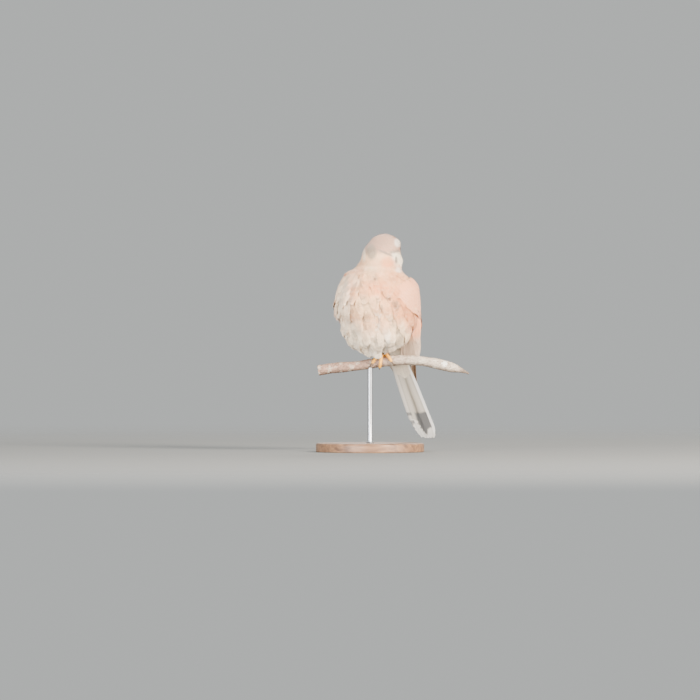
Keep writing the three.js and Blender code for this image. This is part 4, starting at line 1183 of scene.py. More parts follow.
def along_sheet(sheet, shape, stations, seed):
    """Middle lines, ways across and up, and half widths of a row of feathers on a wing's sheet."""
    draw = np.random.default_rng(SEED + seed)
    t = np.linspace(0, 1, stations)[None, :] ** 0.92
    get = {key: np.asarray(value, float)[:, None] for key, value in shape.items()}
    along = blend(get["from_along"], get["along"], t)
    across = blend(get["from_across"], get["across"], t)
    near = blend(get["low"], get["middle"], ease(t, 0, 0.5))
    lift = np.where(t < 0.5, near, blend(get["middle"], get["high"], (t - 0.5) * 2))
    out = sheet.outward(along, across)
    centre = sheet.bare(along, across) + out * lift[..., None]
    flow = unit(np.gradient(centre, axis=1))
    sideways = unit(np.cross(out, flow)) * sheet.side
    up = np.cross(flow, sideways) * sheet.side
    tilt = np.radians(get["tilt"])[..., None]
    sideways, up = (sideways * np.cos(tilt) - up * np.sin(tilt), up * np.cos(tilt) + sideways * np.sin(tilt))
    up = up * np.sign((up * out).sum(-1, keepdims=True))
    width = get["half"] * quill_profile(t, 0.5, get.get("point", 0.86))
    split = 1 - 0.1 * (draw.uniform(size=(len(along), stations, 2)) > 0.9) * (t[..., None] > 0.3)
    half = np.stack([width * get["outer"], width * get["inner"]], -1) * split
    return centre, sideways, up, half, t, out


def atlas(count, columns, rows):
    """A cell of a grid for each feather, for baking."""
    n = np.arange(count)
    return np.stack([(n % columns + 0.5) / columns, (n // columns + 0.5) / rows,
                     np.full(count, 0.9 / columns), np.full(count, 0.9 / rows)], 1)


def quill_colours(count, base, spread, seed):
    """A colour for each feather of a row, each a little lighter or darker."""
    draw = np.random.default_rng(SEED + seed)
    return np.clip(base * (1 + draw.normal(0, spread, (count, 1, 1))), 0, 1)


PRIMARY = linear("#5a4f48")
SECONDARY = linear("#76604f")
SUNLIT_QUILL = linear("#c9aa90")
UNDERWING = linear("#e6d2ba")


def sunlit(colours, up, dark_row):
    """Painted light: the wing is painted paler where it faces the camera and the key light, which the
    photograph shows as salmon and, lower, as a dull pale brown.
    """
    front = column(ease(0.55 * up[..., 0] - up[..., 1], 0, 0.45))
    return blend(colours, SUNLIT_QUILL if dark_row else PALE_RUFOUS, front * 0.92)


def make_wing(side, flight, covert, bare):
    """A folded wing: its rows of feathers, the arm under them and the small feathers over them."""
    name = "left" if side > 0 else "right"
    sheet = WingSheet(side)
    dark_rows = {"primaries": PRIMARY, "secondaries": SECONDARY, "primary_coverts": SECONDARY}
    for n, (key, shape) in enumerate(wing_rows().items()):
        stations = QUILL_STATIONS if n < 3 else COVERT_STATIONS
        centre, sideways, up, half, t, out = along_sheet(sheet, shape, stations, n)
        count = len(centre)
        colours = sunlit(quill_colours(count, dark_rows.get(key, RUFOUS), 0.06, n + 40), up, key in dark_rows)
        marks = np.zeros((count, 3))
        marks[:, 1] = np.random.default_rng(n).uniform(size=count)
        # The tertials and the greater and median coverts have dark drops, most of them bold
        marks[:, 0] = (n in (2, 3, 4)) * np.where(marks[:, 1] > 0.25, 0.9, 0.2 + 0.5 * (n == 2))
        taper = blend(1.0, 0.45, t) * np.ones((count, 1))
        piece = feather_mesh(f"wing_{name}_{key}", centre, sideways, up, half, 0.26 * taper, WIDE_SECTION,
                             0.05, 0.25, atlas(count, 4, 4), colours, marks, out, UNDERWING)
        finish_piece(piece, flight if n < 2 else covert, [f"wing_{name}"] if n == 0 else ())
    places = np.linspace(0.02, 0.98, 12)
    rings = []
    for along in np.linspace(0, 0.46, 12):
        at = np.full(len(places), along)
        out, sheet_place = sheet.outward(at, places), sheet.bare(at, places)
        sunk = 1.2 + 5 * ease(along, 0.1, 0.46)
        rings.append(np.vstack([sheet_place - out * sunk, (sheet_place - out * 8.5)[::-1]]))
    arm = extruded(f"wing_{name}_arm", rings)
    tint_points(arm, BUFF * 0.9)
    tint_points(arm, 0, "mark")
    set_map(arm.data, "OFBake", unwrap(points_of(arm)))
    finish_piece(arm, bare)
    small_coverts(sheet, name, covert)


def small_coverts(sheet, name, material):
    """The small feathers of the shoulder and the hand's edge, shingled in rows."""
    draw = np.random.default_rng(SEED + 60)
    each, stations = 24, 8
    along, across = [], []
    for n, start in enumerate(np.linspace(-0.01, 0.17, 12)):
        across.append(np.linspace(0, 1, each) + (n % 2) * 0.02 + draw.normal(0, 0.006, each))
        along.append(start + draw.normal(0, 0.004, each))
    along, across = np.concatenate(along), np.concatenate(across)
    count = len(along)
    half, high = draw.uniform(2.4, 3.1, count), draw.uniform(1.2, 1.9, count)
    shape = {"from_along": along, "from_across": across, "along": along + 0.075, "across": across + 0.012,
             "half": half, "low": -1.8, "middle": 0.9, "high": high, "tilt": 4, "inner": 1, "outer": 1}
    shape = {key: value * np.ones(count) for key, value in shape.items()}
    centre, sideways, up, _, t, out = along_sheet(sheet, shape, stations, 61)
    ragged = np.where(np.arange(stations) % 2 == 1, 0.85, 1)
    width = column(half[:, None] * (contour_profile(t, 0.5, 0.6) * ragged)) * np.ones(2)
    colours = sunlit(quill_colours(count, RUFOUS, 0.07, 62), up, False)
    marks = np.zeros((count, 3))
    marks[:, 0] = 0.85 * (draw.uniform(size=count) < 0.22) * (1 - ease(-up[:, 0, 1], 0.2, 0.5))
    piece = feather_mesh(f"wing_{name}_lesser_coverts", centre, sideways, up, width, 0.16, SMALL_SECTION,
                         0.12, 0.3, atlas(count, 18, 18), colours, marks, out)
    finish_piece(piece, material)


# Tail

# How much shorter each feather of a side is than the longest, from the middle outwards
TAIL_SHORTER = {1: [0, 1, 3, 5.5, 8.5, 12], -1: [0, 2, 6, 11.5, 18.5, 27]}


def tail_point(along, across, out):
    along, across, out = (column(v) for v in (along, across, out))
    root = body_point(0, TAIL_ROOT_BACK, TAIL_ROOT_HEIGHT)
    return root + along * TAIL_WAY + across * LEFT + out * TAIL_TOP


TAIL_GREY = linear("#b9ae9c")
UNDERTAIL = linear("#e4dac8")
# How far each tail feather lies over the next
LEVEL_STEP = 0.88


def make_tail(material, covert):
    """Twelve quills, six to a side, each pair over the next, and the coverts over and under their roots."""
    stations = 34
    t = np.linspace(0, 1, stations) ** 0.95
    lines = []
    for side, shorter in TAIL_SHORTER.items():
        for i, less in enumerate(shorter):
            end = 2.4 if i == 0 else 6 + (1.5 if side > 0 else 0.95) * i
            level = (3 if i == 0 and side > 0 else 2 - i) * LEVEL_STEP
            lines.append((side, i, 18, TAIL_LENGTH - less, 1.6 + 1.2 * i, end, 6.4 + 0.1 * i, level))
    side, order, start, length, first, last, half, level = (np.array(v, float)[:, None] for v in zip(*lines))
    count = len(lines)
    along = blend(start, length, t)
    centre = tail_point(along, side * blend(first, last, t), level * ease(along, start - 5, start + 35))
    up = np.broadcast_to(TAIL_TOP, centre.shape)
    sideways = unit(np.cross(up, unit(np.gradient(centre, axis=1))))
    width = half * quill_profile(t[None, :], 0.55, 0.88)
    outer = np.where(order > 3, 0.9, 0.95)
    first_is_outer = (sideways @ LEFT)[:, :1] * side < 0
    both = [np.where(first_is_outer, outer, 1.3), np.where(first_is_outer, 1.3, outer)]
    # Painted on each feather: whether its band shows, how white its outer edge is, and which edge is the outer
    white = (order > 4) * np.where(side > 0, 1.0, 0.3)
    marks = np.hstack([np.ones((count, 1)), white, np.where(first_is_outer, 0.0, 1.0)])
    taper = blend(1.0, 0.4, t) * np.ones((count, 1))
    piece = feather_mesh("tail_feathers", centre, sideways, up, np.stack(both, -1) * column(width), 0.3 * taper,
                         WIDE_SECTION, 0.04, 0.25, atlas(count, 4, 3),
                         quill_colours(count, TAIL_GREY, 0.03, 70) * np.ones((1, stations, 1)),
                         marks, up, UNDERTAIL, marks * np.array([0, 1, 1]))
    finish_piece(piece, material, ["tail"])
    tail_coverts(covert)


def tail_coverts(material):
    """The soft feathers over and under the root of the tail."""
    draw = np.random.default_rng(SEED + 80)
    lines = []
    for face, reach_out in ((1, 58), (-1, 66)):
        for layer in range(5):
            for k in range(7):
                across = (k - 3) / 3 * (9.5 - layer * 0.6) + draw.normal(0, 0.3)
                length = reach_out - 9 * layer - 2.4 * abs(k - 3) + draw.normal(0, 1)
                lines.append((face, 2 + layer * 1.2, length, across * 0.7, across * 1.05, 3.6 - 0.15 * layer,
                              3.3 + layer * 0.75 - 0.12 * abs(k - 3) ** 1.5))
    face, start, length, first, last, half, level = (np.array(v, float)[:, None] for v in zip(*lines))
    stations = 12
    t = np.linspace(0, 1, stations)[None, :]
    along = blend(start, length, t)
    out = level * ease(along, -2, 22) + 0.6 * ease(t, 0.7, 1)
    centre = tail_point(along, blend(first, last, t), face * out)
    up = face[..., None] * np.broadcast_to(TAIL_TOP, centre.shape)
    sideways = unit(np.cross(up, unit(np.gradient(centre, axis=1))))
    ragged = 1 - 0.12 * (np.arange(stations) % 2)[None, :] * (t > 0.4)
    width = half * contour_profile(t, 0.6, 0.72) * ragged
    top = face > 0
    colour = np.where(top, linear("#a39a90"), linear("#efe0c8"))[:, None]
    colours = colour * np.ones((len(lines), stations, 3)) * (1 + draw.normal(0, 0.04, (len(lines), 1, 1)))
    marks = np.zeros((len(lines), 3))
    piece = feather_mesh("tail_coverts", centre, sideways, up, column(width) * np.ones(2), 0.2, SMALL_SECTION,
                         0.15, 0.3, atlas(len(lines), 9, 9), colours, marks, up)
    finish_piece(piece, material)


def along_way(add, way):
    """How far a place lies along a way from the tail's root, in metres."""
    far = add("VectorMath", [add("TexCoord", out="Object"), tuple(way)], "Value", operation="DOT_PRODUCT")
    return add("Math", [far, float(tail_point(0, 0, 0) @ way) * MM], operation="SUBTRACT")


def tail_material():
    """Barred quills, firm and matt: grey with fine barbs, a dark band before a white tip that crosses all the
    feathers at one height, a few dark spots, and white outer edges to the outermost pair."""
    material, add = new_material("tail feather, matt")
    own = painted(add)
    above, edged, outer = (painted(add, "mark", part) for part in range(3))
    across, along, off, barb = vane_places(add, QUILL_BARBS, QUILL_SLANT)
    wavy = add("Math", [off, -0.035, along], operation="MULTIPLY_ADD")
    down, left = along_way(add, TAIL_WAY), along_way(add, LEFT)
    begun = add("MapRange", [add("Math", [off, -0.005, down], operation="MULTIPLY_ADD"), 0.119, 0.1225, 0, 1])
    band = add("Math", [begun, add("MapRange", [wavy, 0.92, 0.945, 1, 0])], operation="MULTIPLY")
    shown = add("Math", [above, add("MapRange", [left, -0.006, -0.003, 0, 1])], operation="MAXIMUM")
    band = add("Math", [band, shown], operation="MULTIPLY")
    rows = []
    for at in (0.125, 0.138):
        far = add("Math", [add("Math", [down, at], operation="SUBTRACT")], operation="ABSOLUTE")
        rows.append(add("MapRange", [far, 0.002, 0.0031, 1, 0]))
    at_side = add("MapRange", [left, -0.0098, -0.0088, 0.8, 0])
    spots = add("Math", [add("Math", rows, operation="MAXIMUM"), at_side], operation="MULTIPLY")
    far = add("Math", [add("Math", [across, outer], operation="SUBTRACT")], operation="ABSOLUTE")
    edge = add("Math", [add("Math", [far, 0.36], operation="LESS_THAN"), edged], operation="MULTIPLY")
    tip = add("MapRange", [wavy, 0.93, 0.945, 0, 1])
    rib = add("Math", [add("Math", [off, 0.025], operation="LESS_THAN"), 0.3], operation="MULTIPLY")
    colour = add("Mix", {0: 1, 6: own, 7: add("MapRange", [barb, 0, 1, 0.88, 1])}, 2, **TIMES)
    for share, over in ((band, rgba("#716f6c")), (tip, (*WHITE, 1)), (edge, rgba("#fffaf2")),
                        (spots, rgba("#716f6c")), (rib, rgba("#5a5049"))):
        colour = add("Mix", {0: share, 6: colour, 7: over}, 2, **OVER)
    surface(add, {"Base Color": colour, "Roughness": 0.7, "Sheen Weight": 0.1}, barb)
    return material


def flight_material():
    """Wing quills, firm and matt with a slight silky gloss: dark, with fine barbs, pale rims and dark ribs."""
    material, add = new_material("flight feather, matt")
    own = painted(add)
    _, _, off, barb = vane_places(add, QUILL_BARBS, QUILL_SLANT)
    colour = add("Mix", {0: 1, 6: own, 7: add("MapRange", [barb, 0, 1, 0.85, 1])}, 2, **TIMES)
    rim = add("MapRange", [off, 0.43, 0.48, 0, 0.75])
    colour = add("Mix", {0: rim, 6: colour, 7: rgba("#d8c3a6")}, 2, **OVER)
    rib = add("Math", [add("Math", [off, 0.03], operation="LESS_THAN"), 0.8], operation="MULTIPLY")
    darker = add("Mix", {0: 1, 6: own, 7: (0.45, 0.45, 0.45, 1)}, 2, **TIMES)
    colour = add("Mix", {0: rib, 6: colour, 7: darker}, 2, **OVER)
    surface(add, {"Base Color": colour, "Roughness": 0.6}, barb)
    return material


# Eyes and lids

def frame_of(way):
    """The two ways square to a way: level, and upwards."""
    across = unit(np.cross(UP, way))
    return across, np.cross(way, across)


def round_rings(centre, way, across, upright, turn, radius, sides):
    """Rings of a ball from its front to its back, by how far each is turned away from the front."""
    angle = column(np.arange(sides) / sides * math.tau)
    around = np.cos(angle) * across + np.sin(angle) * upright
    return centre + column(column(np.cos(turn) * radius)) * way + column(column(np.sin(turn) * radius)) * around


def make_eye(name, centre, way, material):
    """An eyeball turned to look its own way, with the cornea's bulge."""
    across, upright = frame_of(way)
    turn = np.concatenate([np.linspace(0, 0.32, 7), np.linspace(0.36, 1, 14)]) * math.pi
    turn = np.clip(turn, 0.012, math.pi - 0.012)
    radius = EYE_RADIUS - 0.02 + 0.35 * np.exp(-(turn / 0.45) ** 2)
    eye = extruded(f"eyeball_{name}", round_rings(centre, way, across, upright, turn, radius, 40))
    out = unit(points_of(eye) - centre)
    turn = np.arccos(np.clip(out @ way, -1, 1)) / math.pi
    spoke = np.arctan2(out @ upright, out @ across) / math.tau % 1
    tint_points(eye, np.stack([turn, spoke, 0 * turn], 1), "eye")
    return finish_piece(eye, material, [f"eye_{name}"])


def eye_material():
    """A wet dark eye: black pupil, very dark brown iris with fine spokes, under a clear glossy cornea."""
    material, add = new_material("eye, glossy wet")
    turn, spoke = painted(add, "eye", 0), painted(add, "eye", 1)
    wave = add("Math", [add("Math", [spoke, math.tau * 36], operation="MULTIPLY")], operation="SINE")
    ray = add("Math", [wave, 0.5, 0.5], operation="MULTIPLY_ADD")
    iris = add("Mix", {0: ray, 6: rgba("#1d0f08"), 7: rgba("#2e180b")}, 2, **OVER)
    past_pupil, past_iris = (add("MapRange", [turn, *limits, 0, 1]) for limits in ((0.15, 0.165), (0.29, 0.32)))
    colour = add("Mix", {0: past_pupil, 6: rgba("#050404"), 7: iris}, 2, **OVER)
    colour = add("Mix", {0: past_iris, 6: colour, 7: rgba("#0d0806")}, 2, **OVER)
    surface(add, {"Base Color": colour, "Roughness": 0.12, "Coat Weight": 1, "Coat Roughness": 0.02})
    return material


# How far each eye's lids stand out from its centre, and how far the ring draws back behind the eye
LIDS_OUT, LIDS_BACK = {"left": 3.65, "right": 4.0}, 0.4


def make_lids(side, centre, way, material):
    """The bare yellow ring round the eye, with the folds of its two lids, wider behind and pointed in front."""
    across, upright = frame_of(way)
    behind = -np.sign(across @ AHEAD)
    angle = np.arange(72) / 72 * math.tau
    radius = 4.95 + 0.3 * np.cos(2 * angle)
    rings = []
    for turn in np.arange(10) / 10 * math.tau:
        fat = 0.72 + 0.045 * np.sin(angle * 30) * (math.sin(turn) > 0)
        wide = radius + fat * math.cos(turn) * 1.25
        out = LIDS_OUT[side] + fat * math.sin(turn) * 0.7 - (wide - radius) * 0.5
        out = out - LIDS_BACK * np.clip(behind * np.cos(angle), 0, 1)
        rings.append(centre + column(out) * way + column(wide * np.cos(angle)) * across
                     + column(wide * np.sin(angle)) * upright)
    lids = extruded(f"lids_{side}", np.array(rings).transpose(1, 0, 2), hoop=True)
    tint_points(lids, linear("#d9a93c"))
    return finish_piece(lids, material)


# Bill

# Each station: how far forward of the bill's root, the height of the ridge and of the edge, and the half width
UPPER_BILL = [
    [0, 4.9, -2.6, 5.3], [2.5, 5, -2.8, 5], [4.5, 4.6, -3, 4.3], [7, 3.9, -3.2, 3.7], [9.5, 2.4, -3.3, 3.1],
    [11.5, 0.4, -4.6, 2.5], [13, -2, -4.4, 1.9], [14.3, -4.8, -6.2, 1.2], [15, -7.6, -8.4, 0.5],
]
LOWER_BILL = [
    [0, -2.8, -7.2, 4.9], [3, -3, -7, 4.3], [6, -3.3, -6.6, 3.4], [8.5, -3.6, -6, 2.6], [10.4, -4, -5.2, 1.5],
]


def bill_rings(stations, finer, drop, ridge, square):
    """The bill's sections. Square is the half that is squared off, where the edges meet: -1 below, 1 above."""
    forward = np.linspace(stations[0][0], stations[-1][0], finer)
    high, low, half = stations_at(stations, forward).T
    angle = (np.arange(40) / 40 * math.tau)[None, :]
    rise, out = np.cos(angle), np.sin(angle)
    squared = rise * square > 0
    out = np.where(squared, np.sign(out) * np.abs(out) ** 0.5, out)
    rise = np.where(squared, np.sign(rise) * np.abs(rise) ** 0.55, rise)
    side = out * column(half) * (1 - ridge * rise * (rise > 0))
    height = column((high + low) / 2) + rise * column((high - low) / 2) - drop
    return head_point(BILL_FORWARD + column(forward) + 0 * angle, side, BILL_HEIGHT + height)


def bill_tint(piece, cere_share):
    """Blue-grey horn that darkens to its tip, with the yellow cere at its root."""
    forward = in_head(points_of(piece))[0] - BILL_FORWARD
    colour = blend(linear("#8d949b"), linear("#23252a"), column(ease(forward, 5, 11)))
    tint_points(piece, blend(colour, linear("#dfae35"), column(1 - ease(forward, 3.4, 4.6)) * cere_share))


def make_bill(material):
    """The hooked upper bill, with its swollen cere and its nostrils, and the lower bill."""
    upper = extruded("bill_above", bill_rings(UPPER_BILL, 40, 0, 0.12, -1))
    places = points_of(upper)
    forward = in_head(places)[0] - BILL_FORWARD
    swelling = column(np.exp(-((forward - 2.2) / 1.6) ** 2) * 0.35)
    places = places + swelling * unit(places - head_point(BILL_FORWARD + 2.2, 0, BILL_HEIGHT))
    for side in (1, -1):
        nostril = head_point(BILL_FORWARD + 2.6, side * 4.4, BILL_HEIGHT + 2.2)
        far = np.linalg.norm(places - nostril, axis=1)
        places = places - column(np.exp(-(far / 0.85) ** 2)) * HEAD_LEFT * side * 1.5
    set_points(upper, places)
    bill_tint(upper, 1)
    finish_piece(upper, material, ["bill_upper"], 60)
    lower = extruded("bill_below", bill_rings(LOWER_BILL, 20, 0.12, 0, 1))
    bill_tint(lower, 0.5)
    finish_piece(lower, material, ["bill_lower"], 60)


# Feet

# The branch's middle line, from its sawn left end to its broken right end
PERCH_LINE = [
    [-69, 1, 108.4], [-53, 0.5, 111.1], [-33, -0.5, 113.1], [-13, 0, 115.1], [6.7, 0.5, 118.4], [27, 0, 121.1],
    [47, -1, 122.2], [66, -1, 121.1], [80, 0, 119.1], [93, 1, 116.4], [106, 1.5, 113.1], [120, 1, 109.1],
    [131.5, 0.5, 104.2],
]
PERCH = smooth_line(PERCH_LINE, 241)


def perch_at(x):
    """The branch's middle at places across."""
    return np.stack([np.interp(x, PERCH[:, 0], PERCH[:, k]) for k in range(3)], -1)


PALM = perch_at(FOOT_X) + np.array([0, 1, PERCH_RADIUS + GAP + 3])
ANKLE = PALM + np.array([0.3, 0.4, 4])
# A toe's radius, and how many plates cover it
TOE_RADIUS, PLATES = 2.25, 12


def toe_line(start_x, end_x, end_angle, behind):
    """A toe's middle line round the branch, from the palm on top of it to an angle on its front or its back."""
    t = np.linspace(0, 1, 9)
    arch = PERCH_RADIUS + 0.55 + GAP + TOE_RADIUS + 0.9 * np.sin(t * math.tau) ** 2
    angle = blend(math.pi / 2, math.radians(end_angle), t)
    out = np.cos(angle) * (arch if behind else -arch)
    return perch_at(blend(start_x, end_x, t)) + np.stack([0 * t, out, np.sin(angle) * arch], 1)


def groove(along):
    """How near a place along a toe is to the gap between two of its plates."""
    return (0.5 + 0.5 * np.cos(along * math.tau * PLATES)) ** 4


def scutes(angle, along):
    """Plates across a toe or shank with grooves between them, and pads below."""
    pads = np.clip(-np.sin(angle), 0, 1) * (0.1 * np.cos(along * math.tau * 3.5 + 1))
    return 1.02 - 0.065 * groove(along) + pads


def make_toe(name, points, radius=TOE_RADIUS):
    """A scaly toe: plates across its back, darker in the gaps between them, partly as their own joints and
    partly as painted shade.
    """
    count = 97
    line = smooth_line(points, count)
    t = np.linspace(0, 1, count)
    radii = radius * (1.12 - 0.3 * t) * np.where(t > 0.97, 0.8, 1)
    toe = extruded(name, tube_rings(line, radii, 14, scutes))
    places = points_of(toe)
    along = np.linalg.norm(places[:, None] - line[None], axis=2).argmin(1) / (count - 1)
    # Partly painted shade in the grooves between the plates
    tint_points(toe, foot_tint(places) * (1 - 0.3 * column(groove(along))))
    return toe


def foot_tint(p):
    return blend(linear("#f2ab34"), linear("#d6952c"), column(0.5 + 0.5 * ripple(p, 5, 9)) * 0.5)


def make_claw(name, points, length, material):
    """A curved claw that carries on from a toe's last points and bends inwards as the toe does."""
    tip, way = points[-1], unit(points[-1] - points[-2])
    inner = points[-3] - tip
    inner = unit(inner - way * (inner @ way))
    line = [tip - way * 0.4 * length]
    line += [tip + (way * 1.02 * t + inner * 0.5 * t * t) * length for t in (0, 0.35, 0.7, 1)]
    line = smooth_line(line, 18)
    claw = extruded(name, tube_rings(line, blend(1.42, 0.16, np.linspace(0, 1, 18) ** 1.3), 12))
    far = np.linalg.norm(points_of(claw) - tip, axis=1)
    tint_points(claw, blend(linear("#6e5c4a"), linear("#2c2622"), column(ease(far, 1.5, length))))
    return finish_piece(claw, material)


def make_foot(name, toes, ball, skin, replaced):
    """One piece from the toes and the ball that they grow from."""
    tint_points(ball, foot_tint(points_of(ball)))
    select_none()
    for piece in (*toes, ball):
        piece.select_set(True)
    bpy.context.view_layer.objects.active = toes[0]
    bpy.ops.object.join()
    toes[0].name = toes[0].data.name = name
    finish_piece(toes[0], skin, [replaced])


def ball_rings(centre, radius, way, squash=1.0):
    across, upright = frame_of(way) if abs(way[2]) < 0.95 else (LEFT, np.cross(way, LEFT))
    turn = np.linspace(0.05, math.pi - 0.05, 12)
    return round_rings(centre, -way * squash, across, upright, turn, radius, 16)


# Each toe of the standing foot: where it starts and ends along the branch from the foot's middle, the angle in
# degrees at which it ends, and whether it is the hind toe
STANDING_TOES = [(-1, -4, -44, False), (-2.5, -14, 2, False), (2, 11.5, -4, False), (0.5, 1.5, 18, True)]


def make_standing_foot(skin, horn):
    """The foot that grips the branch, and its shank."""
    toes = []
    for n, (start, end, angle, behind) in enumerate(STANDING_TOES):
        points = toe_line(FOOT_X + start, FOOT_X + end, angle, behind)
        toes.append(make_toe(f"toe_{n}", points))
        make_claw(f"claw_left_{n + 1}", points, 8, horn)
    palm = extruded("palm", ball_rings(PALM, 3.5, UP, 0.9))
    make_foot("toes_left", toes, palm, skin, "foot_left")
    low, high = PALM + UP, ANKLE + np.array([0.5, 2.5, 26])
    t = np.linspace(0, 1, 40)
    line = low + (high - low) * column(t)
    shank = extruded("shank_left", tube_rings(line, 2.3 + 1.4 * ease(t, 0.45, 1), 16, scutes))
    tint_points(shank, foot_tint(points_of(shank)))
    finish_piece(shank, skin, ["leg_left"])


# Where the tucked foot's ball is, and the way it points
FIST = body_point(-17, -16, 143.5)
FIST_WAY = unit(np.array([-0.25, -0.45, -0.86]))


def make_tucked_foot(skin, horn):
    """The other foot, closed under the belly's feathers."""
    across = unit(np.cross(UP, FIST_WAY))
    bends = column(np.linspace(-0.4, math.pi * 0.98, 8))
    toes = []
    for n, (turn, spread) in enumerate([(-60, 5.5), (-95, 6.5), (-130, 5.5), (90, 5)]):
        a = math.radians(turn)
        ahead = across * math.cos(a) + np.cross(FIST_WAY, across) * math.sin(a)
        points = (FIST + ahead * spread * (np.cos(bends) * 0.9 + 0.35)
                  + FIST_WAY * (2 + np.sin(bends) * spread * 0.8))
        toes.append(make_toe(f"curled_{n}", points, 1.75))
        make_claw(f"claw_right_{n + 1}", points, 6, horn)
    make_foot("toes_right", toes, extruded("fist", ball_rings(FIST, 4.1, FIST_WAY)), skin, "foot_right")


# Perch and stand

def perch_radius(t):
    """The branch's radius along it, uneven, and pointed at its broken right end."""
    tip = ease(t, 0.86, 1)
    return (PERCH_RADIUS + (0.35 * np.sin(17 * t) + 0.2 * np.sin(41 * t + 1)) * (1 - tip)) * (1 - 0.78 * tip)


def make_perch(material):
    """The branch, with furrows along its bark, a knot, a pale patch of lichen, and its sawn left end."""
    count, sides = 240, 48
    line = smooth_line(PERCH_LINE, count)
    perch = extruded("branch", tube_rings(line, perch_radius(np.linspace(0, 1, count)), sides))
    places, normals = points_of(perch), points_of(perch, "normal")
    x, _, z = places.T
    facing_x, facing_y, facing_z = normals.T
    furrows = np.abs(ripple(places * np.array([0.35, 1, 1]), 5, 31))
    knot = np.exp(-(np.linalg.norm(places - np.array([66, -5, 124]), axis=1) / 4) ** 2)
    relief = 0.25 * ripple(places, 3, 32) + 1.2 * knot - 0.5 * (1 - ease(furrows, 0, 0.35))
    relief = np.where(np.abs(facing_x) > 0.85, 0.3 * ripple(places, 2, 33), relief)
    set_points(perch, places + normals * column(relief))
    dark, reddish, pale = linear("#5c4c40"), linear("#967968"), linear("#b9aa98")
    lichen_x, lichen_z = photo_point(444.5, 363.5)
    lichen = np.hypot(x - lichen_x, (z - lichen_z) * 0.8) + 1.6 * ripple(places, 4, 34)
    colour = blend(reddish, pale, column(ease(x, -20, 75)))
    # The second darkening is painted shade: the branch is painted darker where it faces down.
    for over, share in ((dark, (1 - ease(furrows, 0, 0.3)) * 0.6), (dark, ease(-facing_z, 0.1, 0.8) * 0.55),
                        (dark, ease(x, 112, 128) * 0.75),
                        (linear("#e6e4da"), (1 - ease(lichen, 2.4, 4.4)) * (facing_y < 0.4) * 0.9),
                        (linear("#c3bba9"), ease(ripple(places, 14, 35), 0.35, 0.6) * 0.4),
                        (linear("#c6a67c"), facing_x < -0.85)):
        colour = blend(colour, over, column(share))
    tint_points(perch, colour)
    return finish_piece(perch, material, ["perch"], 50)


# The stand's sizes. The rim is the rounding of the base's upper edge.
BASE_RADIUS, BASE_THICKNESS, RIM, ROD_RADIUS = 72, 12, 3, 3.2


def turned(name, profile, sides):
    """A form turned on the upright axis, from radii and heights."""
    angle = np.arange(sides) / sides * math.tau
    rings = [np.stack([r * np.cos(angle), r * np.sin(angle), np.full(sides, float(z))], 1) for r, z in profile]
    return extruded(name, rings)


def make_stand(wood, steel):
    """The turned base, with a rounded rim, a fine groove and a flat underside, and the rod in its collar."""
    rim = [(BASE_RADIUS - RIM + math.cos(a) * RIM, BASE_THICKNESS - RIM + math.sin(a) * RIM)
           for a in np.linspace(0, math.pi / 2, 7)]
    groove_line = [(60, 12), (59.4, 11.6), (58.8, 11.6), (58.2, 12)]
    profile = [(60, 0), (BASE_RADIUS - 1, 0), (BASE_RADIUS, 1), *rim, *groove_line, (30, 12), (6, 12),
               (4.5, 12)]
    finish_piece(turned("base_turned", profile, 96), wood, ["stand_base"], 35)
    collar = [(ROD_RADIUS, 12.2), (5.4, 12.2), (5.6, 12.6), (5.2, 13.4), (ROD_RADIUS + 0.2, 13.7),
              (ROD_RADIUS, 14.2)]
    profile = [(ROD_RADIUS, 7), *collar, (ROD_RADIUS, 60), (ROD_RADIUS, perch_at(0)[2])]
    finish_piece(turned("rod_with_collar", profile, 40), steel, ["stand_rod"], 35)


def wood_material():
    """Turned hardwood with a thin satin varnish: grain streaks about 5 mm wide, and a soft gloss."""
    material, add = new_material("turned wood, satin")
    stretched = add("Mapping", {"Vector": add("TexCoord", out="Object"), "Scale": (1, 14, 14)})
    grain = add("TexNoise", {"Vector": stretched, "Scale": 14, "Detail": 8, "Distortion": 0.6})
    colour = rgba("#5d4331")
    for low, high, code in ((0.3, 0.5, "#7d5c42"), (0.5, 0.7, "#94704f")):
        share = add("MapRange", [grain, low, high, 0, 1])
        colour = add("Mix", {0: share, 6: colour, 7: rgba(code)}, 2, **OVER)
    surface(add, {"Base Color": colour, "Roughness": 0.5, "Coat Weight": 0.15, "Coat Roughness": 0.25},
            grain, 0.2, 0.3)
    return material


def steel_material():
    """Stainless steel, brushed as it turned: rings 0.2 mm apart that spread its gloss up and down the rod."""
    material, add = new_material("brushed steel")
    stretched = add("Mapping", {"Vector": add("TexCoord", out="Object"), "Scale": (20, 20, 900)})
    brushing = add("TexNoise", {"Vector": stretched, "Scale": 6, "Detail": 3})
    rough = add("MapRange", [brushing, 0, 1, 0.25, 0.4])
    surface(add, {"Base Color": rgba("#b8babc"), "Metallic": 1, "Roughness": rough})
    return material


# Camera, floor and light

BACKDROP = rgba("#c3c6c5")
# How far from the stand the floor starts to pass into the backdrop, and where it has gone, in metres
FLOOR_FADE = 0.5, 2.3


